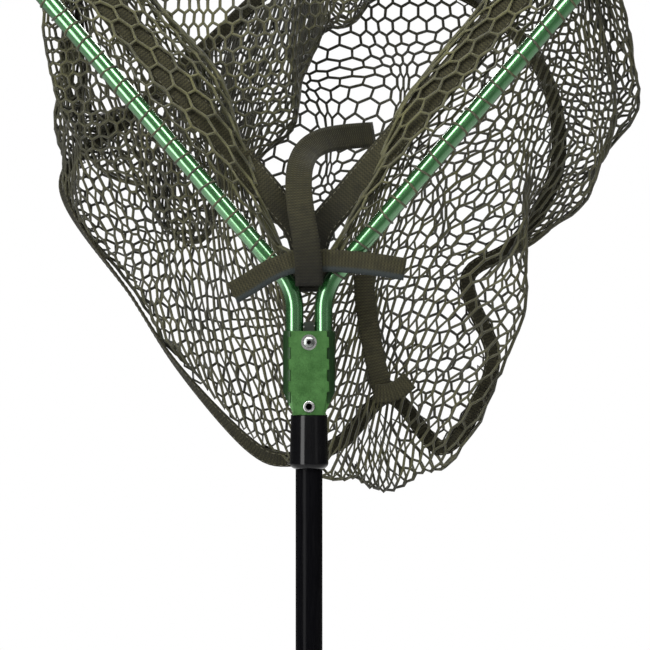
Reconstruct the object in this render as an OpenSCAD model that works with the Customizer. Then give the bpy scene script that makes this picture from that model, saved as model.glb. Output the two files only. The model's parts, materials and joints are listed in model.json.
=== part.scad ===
// Landing net: a bent-tube hoop clamped in a two-half yoke, a hanging net bag,
// and a two-section handle with a twist lock. Millimetres, +Z up along the handle,
// -Y towards the viewer. The origin is the middle of the hand grip.

/* [Hoop] */
// Outside diameter of the hoop tube
tube_d = 12; // [8:0.5:16]
// Wall of the hoop tube
tube_wall = 1.2; // [0.8:0.1:2]
// Distance between the two legs, centre to centre
leg_gap = 19.4; // [18:0.2:26]
// Straight rise of a leg above the yoke
leg_rise = 14; // [6:1:30]
// Length of a leg inside the yoke
leg_seat = 38; // [25:1:40]
// Bend radius between leg and arm
bend_r = 38; // [25:1:60]
// Lean of each arm from the vertical, degrees
arm_lean = 40.5; // [30:0.5:50]
// Length of each straight arm
arm_l = 335; // [260:5:420]
// Bend radius of the two front corners
corner_r = 70; // [40:5:110]
// Slope of the front bow where it leaves a corner, degrees
bow_slope = 8; // [3:0.5:15]

/* [Yoke] */
// Width over the rounded sides
yoke_w = 35; // [34:0.5:48]
// Height of the block
yoke_h = 56; // [52:1:75]
// Thickness front to back
yoke_t = 18; // [18:0.5:26]
// Width of the raised plate on each face, over its lands
plate_w = 27.5; // [22:0.5:32]
// Rise of the plate above the rounded body
plate_rise = 1.4; // [0.8:0.1:2]
// Width of the neck that stands on the collar
neck_w = 22; // [20:0.5:26]
// Height of the straight neck below the taper
neck_h = 2; // [1:0.5:6]
// Height of the taper between block and neck
taper_h = 13.5; // [8:0.5:18]
// Number of lands down each side
land_count = 3; // [2:1:4]
// Height of a land
land_h = 7; // [4:0.5:9]
// Spacing of the lands
land_pitch = 14.75; // [10:0.25:18]
// Distance from the top to the first land
land_start = 4; // [2:0.5:8]
// Depth of the notches between the lands
land_depth = 1.5; // [0.5:0.1:2.5]
// Bevel on the corners of a land
land_bevel = 0.8; // [0.3:0.1:1.4]
// Gap between the two yoke halves
parting = 0.6; // [0.2:0.1:1.5]

/* [Fasteners] */
// Diameter of the clamp screw
screw_d = 4; // [3:0.5:5]
// Diameter of the screw head
screw_head_d = 7.7; // [7:0.1:9]
// Height of the screw head
screw_head_h = 2.6; // [2:0.1:4]
// Width of the screw's hexagon socket
screw_socket = 2.5; // [2:0.1:3]
// Distance from the top of the yoke to the screw
screw_drop = 7.5; // [6:0.25:10]
// Diameter of the washer
washer_d = 10.4; // [9.5:0.1:12]
// Thickness of the washer
washer_t = 0.8; // [0.5:0.1:1.5]
// Width across the flats of the nut
nut_w = 7; // [6:0.5:8]
// Height of the nut
nut_h = 3.2; // [2.4:0.1:4]
// Outside diameter of the hollow rivet
rivet_d = 5.6; // [5:0.1:6.5]
// Bore of the hollow rivet
rivet_bore = 4.3; // [3:0.1:4.6]
// Diameter of the rivet's rolled rim
rivet_rim_d = 7.7; // [7:0.1:9]
// Height of the rolled rim
rivet_rim_h = 1; // [0.6:0.1:1.4]
// Distance from the bottom of the yoke to the rivet
rivet_lift = 5.6; // [5:0.1:8]

/* [Coupling] */
// Outside diameter of the collar at the bottom
collar_d = 26; // [25:0.5:32]
// Outside diameter of the collar at the top
collar_top_d = 24.4; // [24:0.2:28]
// Height of the collar
collar_h = 36; // [30:1:48]
// Height of the plain skirt that runs on the tube
collar_skirt = 16; // [10:1:20]
// Radius round the bottom edge of the collar
collar_round = 4.2; // [1:0.2:5]
// Diameter of the coupling thread
thread_d = 20; // [19.6:0.2:22]
// Length of the pilot below the thread
pilot_l = 18; // [14:1:30]
// Diameter of the pilot
pilot_d = 12; // [9:0.5:13]
// Diameter of the spigot's shank in the yoke
shank_d = 13.5; // [11:0.5:14]
// Thickness of the flat web between the legs, front to back
web_t = 8; // [7:0.5:10]
// Rise of the web above the yoke
web_rise = 6; // [2:0.5:12]
// Thickness of the ferrule's flange
flange_t = 3; // [2:0.5:5]
// Length of the ferrule inside the tube
ferrule_l = 24; // [20:1:40]

/* [Handle] */
// Outside diameter of the upper tube
upper_d = 18; // [17:0.5:19]
// Length of the upper tube
upper_l = 555; // [520:5:700]
// Wall of the handle tubes
handle_wall = 1.2; // [0.8:0.1:2]
// Wall of the guide bush
bush_wall = 0.75; // [0.5:0.05:1.5]
// Length of the guide bush
bush_l = 60; // [40:5:90]
// Length of the lower tube
lower_l = 400; // [380:5:460]
// Outside diameter of the grip
grip_d = 30; // [28:0.5:36]
// Length of the grip
grip_l = 200; // [140:5:240]
// Radius on the ends of the grip
grip_round = 3; // [1:0.5:3.5]
// Outside diameter of the butt cap
butt_d = 28; // [26:0.5:28]
// Height of the butt cap below the grip
butt_h = 18; // [10:1:30]
// Radius on the lower edge of the butt cap
butt_round = 6; // [2:0.5:9]
// Length of the butt cap's plug
plug_l = 15; // [8:1:16]

/* [Twist lock] */
// Outside diameter of the lock nut
lock_d = 29; // [28:0.5:36]
// Wall of the lock sleeve
lock_wall = 1.7; // [1.2:0.1:2.4]
// Length of the lock sleeve over the tube
lock_seat = 24; // [15:1:40]
// Height of the lock's threaded neck
lock_neck = 14; // [10:1:24]
// Height of the collet
collet_h = 9; // [6:0.5:14]
// Thickness of the lock nut's top
lock_top = 4; // [2:0.5:8]
// Radius round the top of the lock nut
lock_round = 3; // [0.5:0.5:3.5]
// Number of flutes round the lock nut
flute_count = 12; // [6:1:16]
// Depth of a flute
flute_depth = 0.9; // [0.3:0.1:1.2]
// Radius of a flute
flute_r = 3; // [2:0.5:4]

/* [Net bag] */
// Thickness of the netting layer
net_t = 1.5; // [1:0.1:2]
// Width of the bars between the openings of the netting
net_bar = 7; // [4:0.5:10]
// Pull of the netting inwards from the hoop
rim_in = 96; // [40:2:120]
// Pull of the netting back from the hoop
rim_back = 30; // [20:2:60]
// Pull of the wall towards the viewer at the seam
seam_ease = 17; // [8:1:30]
// Slack of the lower wall below the seam
wall_sag = 150; // [20:5:180]
// Slack of the right wall outside the seam
right_slack = 100; // [20:5:120]
// Slack of the left wall outside the seam
left_slack = 60; // [20:5:80]
// Distance of the floor's middle behind the hoop
floor_back = 104; // [90:2:130]
// Height of the floor's middle above the yoke
floor_rise = 60; // [30:5:90]
// Depth of the floor's bulge behind the seam
floor_bulge = 42; // [20:2:70]
// Distance from the hoop to the rim tape along the netting
rim_tape_inset = 12; // [6:1:25]
// Width of the rim tape
rim_tape_w = 20; // [10:1:25]
// Width of the seam tape
seam_tape_w = 11; // [6:1:16]
// Width of the tie tape
tie_tape_w = 15; // [8:1:20]
// Width of the drop tape
drop_tape_w = 13; // [8:1:20]
// Width of the slack tape
slack_tape_w = 18; // [8:1:24]
// Thickness of the webbing
tape_t = 1.4; // [0.8:0.1:2]

/* [Fits] */
// Running clearance on a radius
run_clear = 0.05; // [0.02:0.01:0.1]
// Seating clearance on a radius
seat_clear = 0.04; // [0.01:0.01:0.1]
// Gap at faces that part or turn
face_gap = 0.3; // [0.1:0.1:0.6]
// Gap round soft pieces
soft_gap = 0.4; // [0.3:0.1:1]

/* [Hidden] */
$fn = 48;
eps = 0.5;

// Handle heights, from the butt upwards
grip_bottom = -grip_l / 2;
plug_top = grip_bottom + plug_l;
lower_top = grip_bottom + lower_l;
upper_bottom = plug_top + face_gap;
upper_top = upper_bottom + upper_l;

// Handle diameters, each from the piece that it runs on
bush_d = upper_d + 2 * bush_wall;
lower_bore = bush_d + 2 * run_clear;
lower_d = lower_bore + 2 * handle_wall;
upper_bore = upper_d - 2 * handle_wall;
neck_bore = upper_d + 2 * run_clear;
lock_sleeve_d = lower_d + 2 * lock_wall;
neck_d = lower_d;
collet_d = neck_d - 2 * run_clear;
lock_bottom = lower_top + face_gap;
neck_top = lower_top + lock_neck;
collet_top = neck_top + collet_h;

// Coupling heights
thread_bottom = upper_top + flange_t + run_clear;
collar_bottom = upper_top - collar_skirt;
collar_top = collar_bottom + collar_h;
collar_bore = thread_d + 2 * run_clear;
flange_d = thread_d;

// The yoke stands on the collar; yoke_top is the height that the head is drawn from
yoke_bottom = collar_top + face_gap;
yoke_top = yoke_bottom + yoke_h;
screw_z = yoke_top - screw_drop;
rivet_z = yoke_bottom + rivet_lift;
leg_bottom = yoke_top - leg_seat;
shank_top = leg_bottom - face_gap;
web_w = leg_gap - tube_d - 2 * soft_gap;
counterbore = washer_t;
tube_r = tube_d / 2;

// The hoop as a run of straights and bends: length and 0, or radius and turn in degrees
corner_turn = arm_lean + 90 - bow_slope;
half_hoop = [[arm_l, 0], [corner_r, corner_turn]];
arm_start = [leg_gap / 2 + bend_r * (1 - cos(arm_lean)), yoke_top + leg_rise + bend_r * sin(arm_lean)];
arm_heading = 90 - arm_lean;
corner_end = walk(half_hoop, step_length(half_hoop[0]) + step_length(half_hoop[1]), arm_start, arm_heading);
bow_r = corner_end[0][0] / sin(bow_slope);
rim_run = [half_hoop[0], half_hoop[1], [bow_r, bow_slope]];
rim_length = step_length(rim_run[0]) + step_length(rim_run[1]) + step_length(rim_run[2]);
whole_hoop = [
    [leg_seat + leg_rise, 0], [bend_r, -arm_lean], [arm_l, 0], [corner_r, corner_turn], [bow_r, 2 * bow_slope],
    [corner_r, corner_turn], [arm_l, 0], [bend_r, -arm_lean], [leg_seat + leg_rise, 0]
];

// Seam between the bag's wall and its floor: x, y and height from the yoke's top,
// from the lowest point up the right side, over the top and down the left side
seam_route = [
    [-14, 70, -94], [22, 72, -80], [56, 78, -51], [92, 72, -82], [118, 79, -50], [129, 85, -16],
    [114, 95, 37], [156, 100, 64], [190, 111, 121], [178, 120, 190], [112, 124, 245], [0, 126, 262],
    [-76, 124, 205], [-128, 118, 156], [-177, 108, 104], [-125, 92, 22], [-91, 83, -28], [-42, 72, -84]
];
seam_top = 11;
seam_chords = [for (i = [0 : len(seam_route) - 1]) norm(seam_point(i + 1) - seam_point(i))];
seam_half = [
    sum_to(seam_chords, seam_top),
    sum_to(seam_chords, len(seam_chords)) - sum_to(seam_chords, seam_top)
];

// Routes of the free tapes: x, y and height from the yoke's top
tie_y = -(tube_r + soft_gap + tape_t / 2);
tie_route = [
    [-52, tie_y - 3, 27], [-40, tie_y - 2, 33], [-26, tie_y, 41], [-10, tie_y - 2, 46],
    [10, tie_y - 2, 47], [28, tie_y, 46], [46, tie_y - 2, 45], [64, tie_y - 4, 43]
];
slack_route = [
    [-4, 8, 56], [-5, 26, 78], [-3, 44, 98], [3, 62, 114], [14, 79, 126], [28, 95, 135], [46, 109, 140]
];
drop_route = [[41, 17, 36], [41, 22, 20], [43, 27, 2], [45, 31, -16], [48, 36, -32], [50, 40, -44]];

// Facets round the hoop tube, with the most bend in degrees and the most length to a facet along a bend
hoop_sides = 24;
hoop_bend_step = 9;
hoop_facet_l = 48;

// Middle of the floor before it bulges
floor_middle = [0, floor_back, yoke_top + floor_rise];

// Counts of the bag's grid: columns, two to an opening, and rows of openings in the wall and in the floor
around = 48;
free_rows = 6;
floor_rows = 3;
// Share of the way from the seam to the middle of the floor that has openings
floor_open = 0.66;
// Places round the mouth where the wall has the most slack: below, on the right and on the left
sag_place = 0.075;
right_place = 0.24;
left_place = 0.66;
// Share of the way to the middle that the netting may be pulled inwards near the crotch
crotch_share = 0.6;

// Walking along a run of straights and bends

function step_length(step) = step[1] == 0 ? step[0] : step[0] * abs(step[1]) * PI / 180;

function arc_ahead(p, h, r, turn) =
    let (k = sign(turn)) p + k * r * [sin(h + turn) - sin(h), cos(h) - cos(h + turn)];

function step_ahead(p, h, step, s) =
    step[1] == 0
        ? [p + s * [cos(h), sin(h)], h]
        : let (turn = step[1] * s / step_length(step)) [arc_ahead(p, h, step[0], turn), h + turn];

function walk(steps, s, p, h, i = 0) =
    i == len(steps) - 1 || s <= step_length(steps[i])
        ? step_ahead(p, h, steps[i], s)
        : let (next = step_ahead(p, h, steps[i], step_length(steps[i])))
            walk(steps, s - step_length(steps[i]), next[0], next[1], i + 1);

function sum_to(list, n) = n <= 0 ? 0 : list[n - 1] + sum_to(list, n - 1);

// The bag's two edges, both by a place from 0 to 1 round the mouth, starting at the lowest point

function seam_point(i) = seam_route[(i + len(seam_route)) % len(seam_route)];

function spline(a, b, c, d, t) =
    0.5 * (2 * b + (c - a) * t + (2 * a - 5 * b + 4 * c - d) * t * t + (3 * b - a - 3 * c + d) * t * t * t);

function seam_along(run, i) =
    run <= seam_chords[i] || i == len(seam_chords) - 1
        ? spline(seam_point(i - 1), seam_point(i), seam_point(i + 1), seam_point(i + 2), run / seam_chords[i])
        : seam_along(run - seam_chords[i], i + 1);

function seam_at(u) =
    (u <= 0.5
        ? seam_along(2 * u * seam_half[0], 0)
        : seam_along((2 * u - 1) * seam_half[1], seam_top)) + [0, 0, yoke_top];

function rim_pose(u) = walk(rim_run, 2 * (u <= 0.5 ? u : 1 - u) * rim_length, arm_start, arm_heading);

function rim_inward(u) =
    let (h = rim_pose(u)[1]) [(u <= 0.5 ? -1 : 1) * sin(h), 0, cos(h)];

function rim_at(u) =
    let (p = rim_pose(u)[0])
        [(u <= 0.5 ? 1 : -1) * p[0], 0, p[1]] + (tube_r + soft_gap + net_t / 2) * rim_inward(u);

// The bag's wall and floor

function slack_near(u, place) = pow(max(0, cos(360 * (u - place))), 8);

function inward_pull(u) =
    rim_pose(u)[1] > 90 ? rim_in : min(rim_in, crotch_share * abs(rim_at(u)[0] / rim_inward(u)[0]));

function bezier(a, b, c, d, t) =
    pow(1 - t, 3) * a + 3 * pow(1 - t, 2) * t * b + 3 * (1 - t) * t * t * c + t * t * t * d;

function wall_slack(u) = [
    right_slack * slack_near(u, right_place) - left_slack * slack_near(u, left_place),
    -seam_ease,
    -wall_sag * slack_near(u, sag_place)
];

function wall_at(u, v) =
    let (rim = rim_at(u), seam = seam_at(u))
        bezier(
            rim,
            rim + inward_pull(u) * rim_inward(u) + [0, rim_back, 0],
            seam + wall_slack(u),
            seam,
            v
        );

function floor_at(u, v) =
    let (edge = seam_at(u) + [0, net_t + tape_t + 2 * soft_gap, 0])
        edge + v * (floor_middle - edge) + [0, floor_bulge * sin(90 * v), 0];

function unit(a) = a / norm(a);

// Rows of the wall: the hoop, both edges of the rim tape, the free netting, both edges of the seam tape

function rows_at(u) =
    let (
        pace = 3 * norm([inward_pull(u), rim_back]),
        tape_top = rim_tape_inset / pace,
        tape_end = tape_top + rim_tape_w / pace,
        seam_start = 1 - 0.2 * seam_tape_w / norm(wall_at(u, 1) - wall_at(u, 0.8))
    )
        [0, tape_top, each [for (j = [0 : free_rows]) tape_end + (seam_start - tape_end) * j / free_rows], 1];

bag_wall = [
    for (i = [0 : around - 1])
        let (u = (i + 0.5) / around) [for (v = rows_at(u)) wall_at(u, v)]
];
bag_floor = [
    for (i = [0 : around - 1])
        [for (j = [0 : floor_rows]) floor_at((i + 0.5) / around, floor_open * j / floor_rows)]
];
last_row = free_rows + 3;

function bag_normal(grid, i, j) =
    let (n = len(grid), m = len(grid[0]))
        unit(cross(
            grid[(i + 1) % n][j] - grid[(i + n - 1) % n][j],
            grid[i][min(j + 1, m - 1)] - grid[i][max(j - 1, 0)]
        ));

// Rows of a grid, moved out by a distance along its normals

function layer(grid, first, last, depth) = [
    for (i = [0 : len(grid) - 1])
        [for (j = [first : last]) grid[i][j] + depth * bag_normal(grid, i, j)]
];

// Corners of an opening, in columns and rows from its first corner
window = [[0, 0], [1, 0], [2, 0], [2, 1], [1, 1], [0, 1]];

// Corner of an opening: half a bar in from the middle of the bars that meet there
function window_corner(grid, i, j, corner) =
    let (
        n = len(grid),
        here = grid[(i + corner[0]) % n][j + corner[1]],
        along = grid[(i + 1) % n][j + corner[1]] - here,
        down = grid[(i + corner[0]) % n][j + 1 - corner[1]] - here
    )
        here + net_bar / 2 * (unit(down) + (corner[0] == 1 ? [0, 0, 0] : unit(along)));

// Closed shell between two layers that run round a loop. Rows from open[0] to open[1] have openings,
// and the last row closes on a pole where one is given
module loop_shell(near, far, open = [0, 0], poles = []) {
    n = len(near);
    m = len(near[0]);
    half = n * m;
    places = [for (i = [0 : 2 : n - 2], j = [open[0] : 1 : open[1] - 1]) [i, j]];
    corners = len(window);
    first = 2 * half;
    count = len(places) * corners;
    pole = first + 2 * count;
    function id(i, j) = (i % n) * m + j;
    function is_open(j) = j >= open[0] && j < open[1];
    sides = [
        for (i = [0 : n - 1], j = [0 : m - 2])
            let (a = id(i, j), b = id(i + 1, j), c = id(i + 1, j + 1), d = id(i, j + 1))
                if (!is_open(j))
                    each [
                        [a, b, c], [a, c, d],
                        [a + half, c + half, b + half], [a + half, d + half, c + half]
                    ]
    ];
    frames = [
        for (w = [0 : 1 : len(places) - 1], k = [0 : corners - 1])
            let (
                next = (k + 1) % corners,
                a = id(places[w][0] + window[k][0], places[w][1] + window[k][1]),
                b = id(places[w][0] + window[next][0], places[w][1] + window[next][1]),
                p = first + w * corners + k,
                q = first + w * corners + next
            )
                each [
                    [a, b, q], [a, q, p],
                    [a + half, q + count, b + half], [a + half, p + count, q + count],
                    [p, q, q + count], [p, q + count, p + count]
                ]
    ];
    edges = [
        for (i = [0 : n - 1], j = [0, m - 1])
            let (a = id(i, j), b = id(i + 1, j))
                each j == 0
                    ? [[a, a + half, b + half], [a, b + half, b]]
                    : len(poles) > 0
                        ? [[a, b, pole], [b + half, a + half, pole + 1]]
                        : [[a, b + half, a + half], [a, b, b + half]]
    ];
    points = [
        for (side = [near, far], column = side) each column,
        for (side = [near, far], place = places, corner = window)
            window_corner(side, place[0], place[1], corner),
        each poles
    ];
    polyhedron(points, concat(sides, frames, edges));
}

// Flat strip along a row of points, facing the viewer

module strip(points, width, thick) {
    n = len(points);
    function along(i) = unit(points[min(i + 1, n - 1)] - points[max(i - 1, 0)]);
    function across(i) = unit(cross(along(i), [0, 1, 0]));
    function out(i) = cross(across(i), along(i));
    corners = [
        for (i = [0 : n - 1], c = [[1, 1], [-1, 1], [-1, -1], [1, -1]])
            points[i] + c[0] * width / 2 * across(i) + c[1] * thick / 2 * out(i)
    ];
    walls = [
        for (i = [0 : n - 2], k = [0 : 3])
            let (a = 4 * i + k, b = 4 * i + (k + 1) % 4)
                each [[a, b + 4, a + 4], [a, b, b + 4]]
    ];
    last = 4 * (n - 1);
    ends = [[0, 2, 1], [0, 3, 2], [last, last + 1, last + 2], [last, last + 2, last + 3]];
    polyhedron(corners, concat(walls, ends));
}

// Hollow tube swept along a run of straights and bends in the plane of the hoop

function run_stops(steps, bend_step, longest) = [
    0,
    for (i = [0 : len(steps) - 1])
        let (
            start = sum_to([for (step = steps) step_length(step)], i),
            count = steps[i][1] == 0 ? 1 : ceil(max(abs(steps[i][1]) / bend_step, step_length(steps[i]) / longest))
        )
            each [for (k = [1 : count]) start + step_length(steps[i]) * k / count]
];

module swept_tube(steps, start, heading, outside, wall) {
    sides = hoop_sides;
    poses = [for (s = run_stops(steps, hoop_bend_step, hoop_facet_l)) walk(steps, s, start, heading)];
    n = len(poses);
    half = n * sides;
    last = half - sides;
    function ring(pose, r) = [
        for (k = [0 : sides - 1])
            let (a = 360 * k / sides, across = r * cos(a))
                [pose[0][0] - across * sin(pose[1]), r * sin(a), pose[0][1] + across * cos(pose[1])]
    ];
    points = [for (r = [outside / 2, outside / 2 - wall], pose = poses) each ring(pose, r)];
    walls = [
        for (i = [0 : n - 2], k = [0 : sides - 1])
            let (a = i * sides + k, b = i * sides + (k + 1) % sides, c = b + sides, d = a + sides)
                each [[a, b, c], [a, c, d], [a + half, c + half, b + half], [a + half, d + half, c + half]]
    ];
    ends = [
        for (k = [0 : sides - 1])
            let (next = (k + 1) % sides)
                each [
                    [k, k + half, next + half], [k, next + half, next],
                    [last + k, last + next + half, last + k + half], [last + k, last + next, last + next + half]
                ]
    ];
    polyhedron(points, concat(walls, ends));
}

module pipe(outside, inside, from, to) {
    translate([0, 0, from]) difference() {
        cylinder(d = outside, h = to - from);
        translate([0, 0, -eps]) cylinder(d = inside, h = to - from + 2 * eps);
    }
}

module cross_hole(d, z) {
    translate([0, 0, z]) rotate([90, 0, 0]) cylinder(d = d, h = 2 * yoke_t, center = true);
}

// Handle

module grip() {
    color("#23241f") translate([0, 0, grip_bottom]) rotate_extrude() difference() {
        union() {
            translate([0, grip_round]) square([grip_d / 2, grip_l - 2 * grip_round]);
            square([grip_d / 2 - grip_round, grip_l]);
            for (z = [grip_round, grip_l - grip_round])
                translate([grip_d / 2 - grip_round, z]) circle(r = grip_round);
        }
        translate([0, -eps]) square([lower_d / 2 + seat_clear, grip_l + 2 * eps]);
    }
}

module butt_cap() {
    color("#161616") rotate_extrude() {
        translate([0, grip_bottom - butt_h + butt_round]) square([butt_d / 2, butt_h - butt_round - seat_clear]);
        translate([0, grip_bottom - butt_h]) square([butt_d / 2 - butt_round, butt_h - seat_clear]);
        intersection() {
            translate([butt_d / 2 - butt_round, grip_bottom - butt_h + butt_round]) circle(r = butt_round);
            translate([0, grip_bottom - butt_h]) square([butt_d / 2, butt_round]);
        }
        translate([0, grip_bottom - butt_h / 2]) square([lower_bore / 2 - seat_clear, butt_h / 2 + plug_l]);
    }
}

module lower_tube() {
    color("#191919") pipe(lower_d, lower_bore, grip_bottom, lower_top);
}

module lock_sleeve() {
    color("#1c1c1c") {
        pipe(lock_sleeve_d, lower_d + 2 * seat_clear, lower_top - lock_seat, lower_top);
        pipe(lock_sleeve_d, neck_bore, lower_top, lower_top + face_gap);
        pipe(neck_d, neck_bore, lower_top, neck_top);
    }
}

module lock_collet() {
    slit = 1.2;
    color("#d9d4c4") difference() {
        pipe(collet_d, neck_bore, neck_top, collet_top);
        for (a = [0, 90])
            rotate([0, 0, a])
                translate([-collet_d, -slit / 2, neck_top + collet_h / 3]) cube([2 * collet_d, slit, collet_h]);
    }
}

module lock_nut() {
    nut_bottom = lock_bottom + face_gap;
    nut_top = collet_top + face_gap + lock_top;
    color("#141414") difference() {
        rotate_extrude() difference() {
            union() {
                translate([0, nut_bottom]) square([lock_d / 2, nut_top - nut_bottom - lock_round]);
                translate([0, nut_bottom]) square([lock_d / 2 - lock_round, nut_top - nut_bottom]);
                translate([lock_d / 2 - lock_round, nut_top - lock_round]) circle(r = lock_round);
            }
            translate([0, nut_bottom - eps])
                square([neck_d / 2 + run_clear, collet_top + face_gap - nut_bottom + eps]);
            translate([0, nut_bottom - eps]) square([neck_bore / 2 + run_clear, nut_top - nut_bottom + 2 * eps]);
        }
        for (i = [0 : flute_count - 1])
            rotate([0, 0, i * 360 / flute_count])
                translate([lock_d / 2 + flute_r - flute_depth, 0, nut_bottom - eps])
                    cylinder(r = flute_r, h = nut_top - nut_bottom - lock_round + eps);
    }
}

module upper_tube() {
    color("#111111") pipe(upper_d, upper_bore, upper_bottom, upper_top);
}

module guide_bush() {
    color("#d9d4c4") pipe(bush_d, upper_d + 2 * seat_clear, upper_bottom, upper_bottom + bush_l);
}

module tube_ferrule() {
    color("#8a8d90") {
        pipe(upper_bore - 2 * seat_clear, pilot_d + 2 * run_clear, upper_top - ferrule_l, upper_top + flange_t / 2);
        pipe(flange_d, pilot_d + 2 * run_clear, upper_top, upper_top + flange_t);
    }
}

// Coupling

module coupling_collar() {
    color("#0c0c0e") rotate_extrude() difference() {
        union() {
            translate([0, collar_bottom + collar_round]) polygon([
                [0, 0], [collar_d / 2, 0], [collar_top_d / 2, collar_h - collar_round], [0, collar_h - collar_round]
            ]);
            translate([0, collar_bottom]) square([collar_d / 2 - collar_round, collar_h]);
            intersection() {
                translate([collar_d / 2 - collar_round, collar_bottom + collar_round]) circle(r = collar_round);
                translate([0, collar_bottom]) square([collar_d / 2, collar_round]);
            }
        }
        translate([0, collar_bottom - eps]) square([upper_d / 2 + run_clear, collar_h + 2 * eps]);
        translate([0, upper_top - run_clear]) square([collar_bore / 2, collar_h]);
    }
}

module spigot() {
    color("#1b1f1b") difference() {
        union() {
            translate([0, 0, thread_bottom - pilot_l]) cylinder(d = pilot_d, h = pilot_l + flange_t);
            translate([0, 0, thread_bottom]) cylinder(d = thread_d, h = collar_top - thread_bottom);
            translate([0, 0, thread_bottom]) cylinder(d = shank_d, h = shank_top - thread_bottom);
            translate([-web_w / 2, -web_t / 2, rivet_z])
                cube([web_w, web_t, yoke_top + web_rise - rivet_z]);
        }
        cross_hole(screw_d + 2 * seat_clear, screw_z);
        cross_hole(rivet_d + 2 * seat_clear, rivet_z);
    }
}

// Yoke

function land_side(k) = [
    for (i = [0 : land_count - 1])
        let (top = -land_start - i * land_pitch, out = plate_w / 2, in = plate_w / 2 - land_depth)
            each [
                [k * in, top], [k * (out - land_bevel), top], [k * out, top - land_bevel],
                [k * out, top - land_h + land_bevel], [k * (out - land_bevel), top - land_h], [k * in, top - land_h]
            ]
];

function reversed(list) = [for (i = [len(list) - 1 : -1 : 0]) list[i]];

// Outline of the block or of its plate from the top down: half width, edge of the two sides, half neck
module tapered_outline(half_w, edges, half_neck) {
    function side(k) = concat(
        [[k * half_w, 0]],
        edges ? land_side(k) : [],
        [[k * half_w, -yoke_h + neck_h + taper_h], [k * half_neck, -yoke_h + neck_h], [k * half_neck, -yoke_h]]
    );
    polygon(concat(side(1), reversed(side(-1))));
}

module stand_up(depth) {
    translate([0, depth / 2, yoke_top]) rotate([90, 0, 0]) linear_extrude(depth) children();
}

// Body rounded about the two tube sockets, cut to the outline of the block
module yoke_body() {
    side_r = (yoke_w - leg_gap) / 2;
    intersection() {
        stand_up(yoke_t) tapered_outline(yoke_w / 2, false, neck_w / 2);
        union() {
            for (x = [-leg_gap / 2, leg_gap / 2])
                translate([x, 0, yoke_bottom - eps]) cylinder(r = side_r, h = yoke_h + 2 * eps);
            translate([-leg_gap / 2, plate_rise - yoke_t / 2, yoke_bottom - eps])
                cube([leg_gap, yoke_t - 2 * plate_rise, yoke_h + 2 * eps]);
        }
    }
}

// One half of the yoke, on the side that k points to: -1 front, 1 rear
module yoke_half(k) {
    half_t = yoke_t / 2;
    difference() {
        intersection() {
            union() {
                yoke_body();
                stand_up(yoke_t) tapered_outline(plate_w / 2 - land_depth, true, neck_w / 2 - land_depth);
            }
            translate([-yoke_w, (k < 0 ? -yoke_t : parting / 2), yoke_bottom - eps])
                cube([2 * yoke_w, yoke_t - parting / 2, yoke_h + 2 * eps]);
        }
        for (x = [-leg_gap / 2, leg_gap / 2])
            translate([x, 0, leg_bottom - face_gap]) cylinder(d = tube_d + 2 * seat_clear, h = yoke_h);
        translate([0, 0, yoke_bottom - eps])
            cylinder(d = shank_d + 2 * seat_clear, h = shank_top - yoke_bottom + face_gap / 2 + eps);
        translate([-web_w / 2 - seat_clear, -web_t / 2 - seat_clear, rivet_z])
            cube([web_w + 2 * seat_clear, web_t + 2 * seat_clear, yoke_h]);
        cross_hole(screw_d + 2 * seat_clear, screw_z);
        cross_hole(rivet_d + 2 * seat_clear, rivet_z);
        if (k < 0)
            translate([0, -half_t + counterbore, screw_z])
                rotate([90, 0, 0]) cylinder(d = washer_d + 2 * seat_clear, h = yoke_t);
        else
            translate([0, half_t - nut_h, screw_z])
                rotate([-90, 0, 0]) cylinder(d = nut_across + 2 * seat_clear, h = yoke_t, $fn = 6);
    }
}

nut_across = nut_w / cos(30);

module front_yoke() {
    color("#3f8f3c") yoke_half(-1);
}

module rear_yoke() {
    color("#3f8f3c") yoke_half(1);
}

module clamp_screw() {
    face = -yoke_t / 2 + counterbore - washer_t;
    color("#c9ccce") difference() {
        union() {
            translate([0, face, screw_z]) rotate([90, 0, 0]) rotate_extrude() {
                square([screw_head_d / 2, screw_head_h / 2]);
                intersection() {
                    translate([0, screw_head_h - screw_head_d]) circle(r = screw_head_d);
                    square([screw_head_d / 2 - screw_head_h / 8, screw_head_h]);
                }
            }
            translate([0, yoke_t / 2, screw_z])
                rotate([90, 0, 0]) cylinder(d = screw_d, h = yoke_t / 2 - face);
        }
        translate([0, face - screw_head_h / 3, screw_z])
            rotate([90, 0, 0]) cylinder(d = screw_socket / cos(30), h = screw_head_h, $fn = 6);
    }
}

module clamp_washer() {
    color("#d6d8d8") translate([0, -yoke_t / 2 + counterbore, screw_z]) rotate([90, 0, 0]) difference() {
        cylinder(d = washer_d, h = washer_t);
        translate([0, 0, -eps]) cylinder(d = screw_d + 2 * seat_clear, h = washer_t + 2 * eps);
    }
}

module clamp_nut() {
    color("#c9ccce") translate([0, yoke_t / 2, screw_z]) rotate([90, 0, 0]) difference() {
        cylinder(d = nut_across, h = nut_h, $fn = 6);
        translate([0, 0, -eps]) cylinder(d = screw_d + 2 * seat_clear, h = nut_h + 2 * eps);
    }
}

module hollow_rivet() {
    rim_y = yoke_t / 2 + seat_clear;
    color("#d8dbda") translate([0, 0, rivet_z]) rotate([90, 0, 0]) rotate_extrude() difference() {
        union() {
            translate([0, -rim_y - rivet_rim_h]) square([rivet_d / 2, 2 * rim_y + 2 * rivet_rim_h]);
            for (k = [-1, 1])
                translate([0, k * (rim_y + rivet_rim_h / 2)]) {
                    translate([0, -rivet_rim_h / 2]) square([(rivet_rim_d - rivet_rim_h) / 2, rivet_rim_h]);
                    translate([(rivet_rim_d - rivet_rim_h) / 2, 0]) circle(d = rivet_rim_h);
                }
        }
        translate([0, -yoke_t]) square([rivet_bore / 2, 2 * yoke_t]);
    }
}

// Hoop and net

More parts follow.
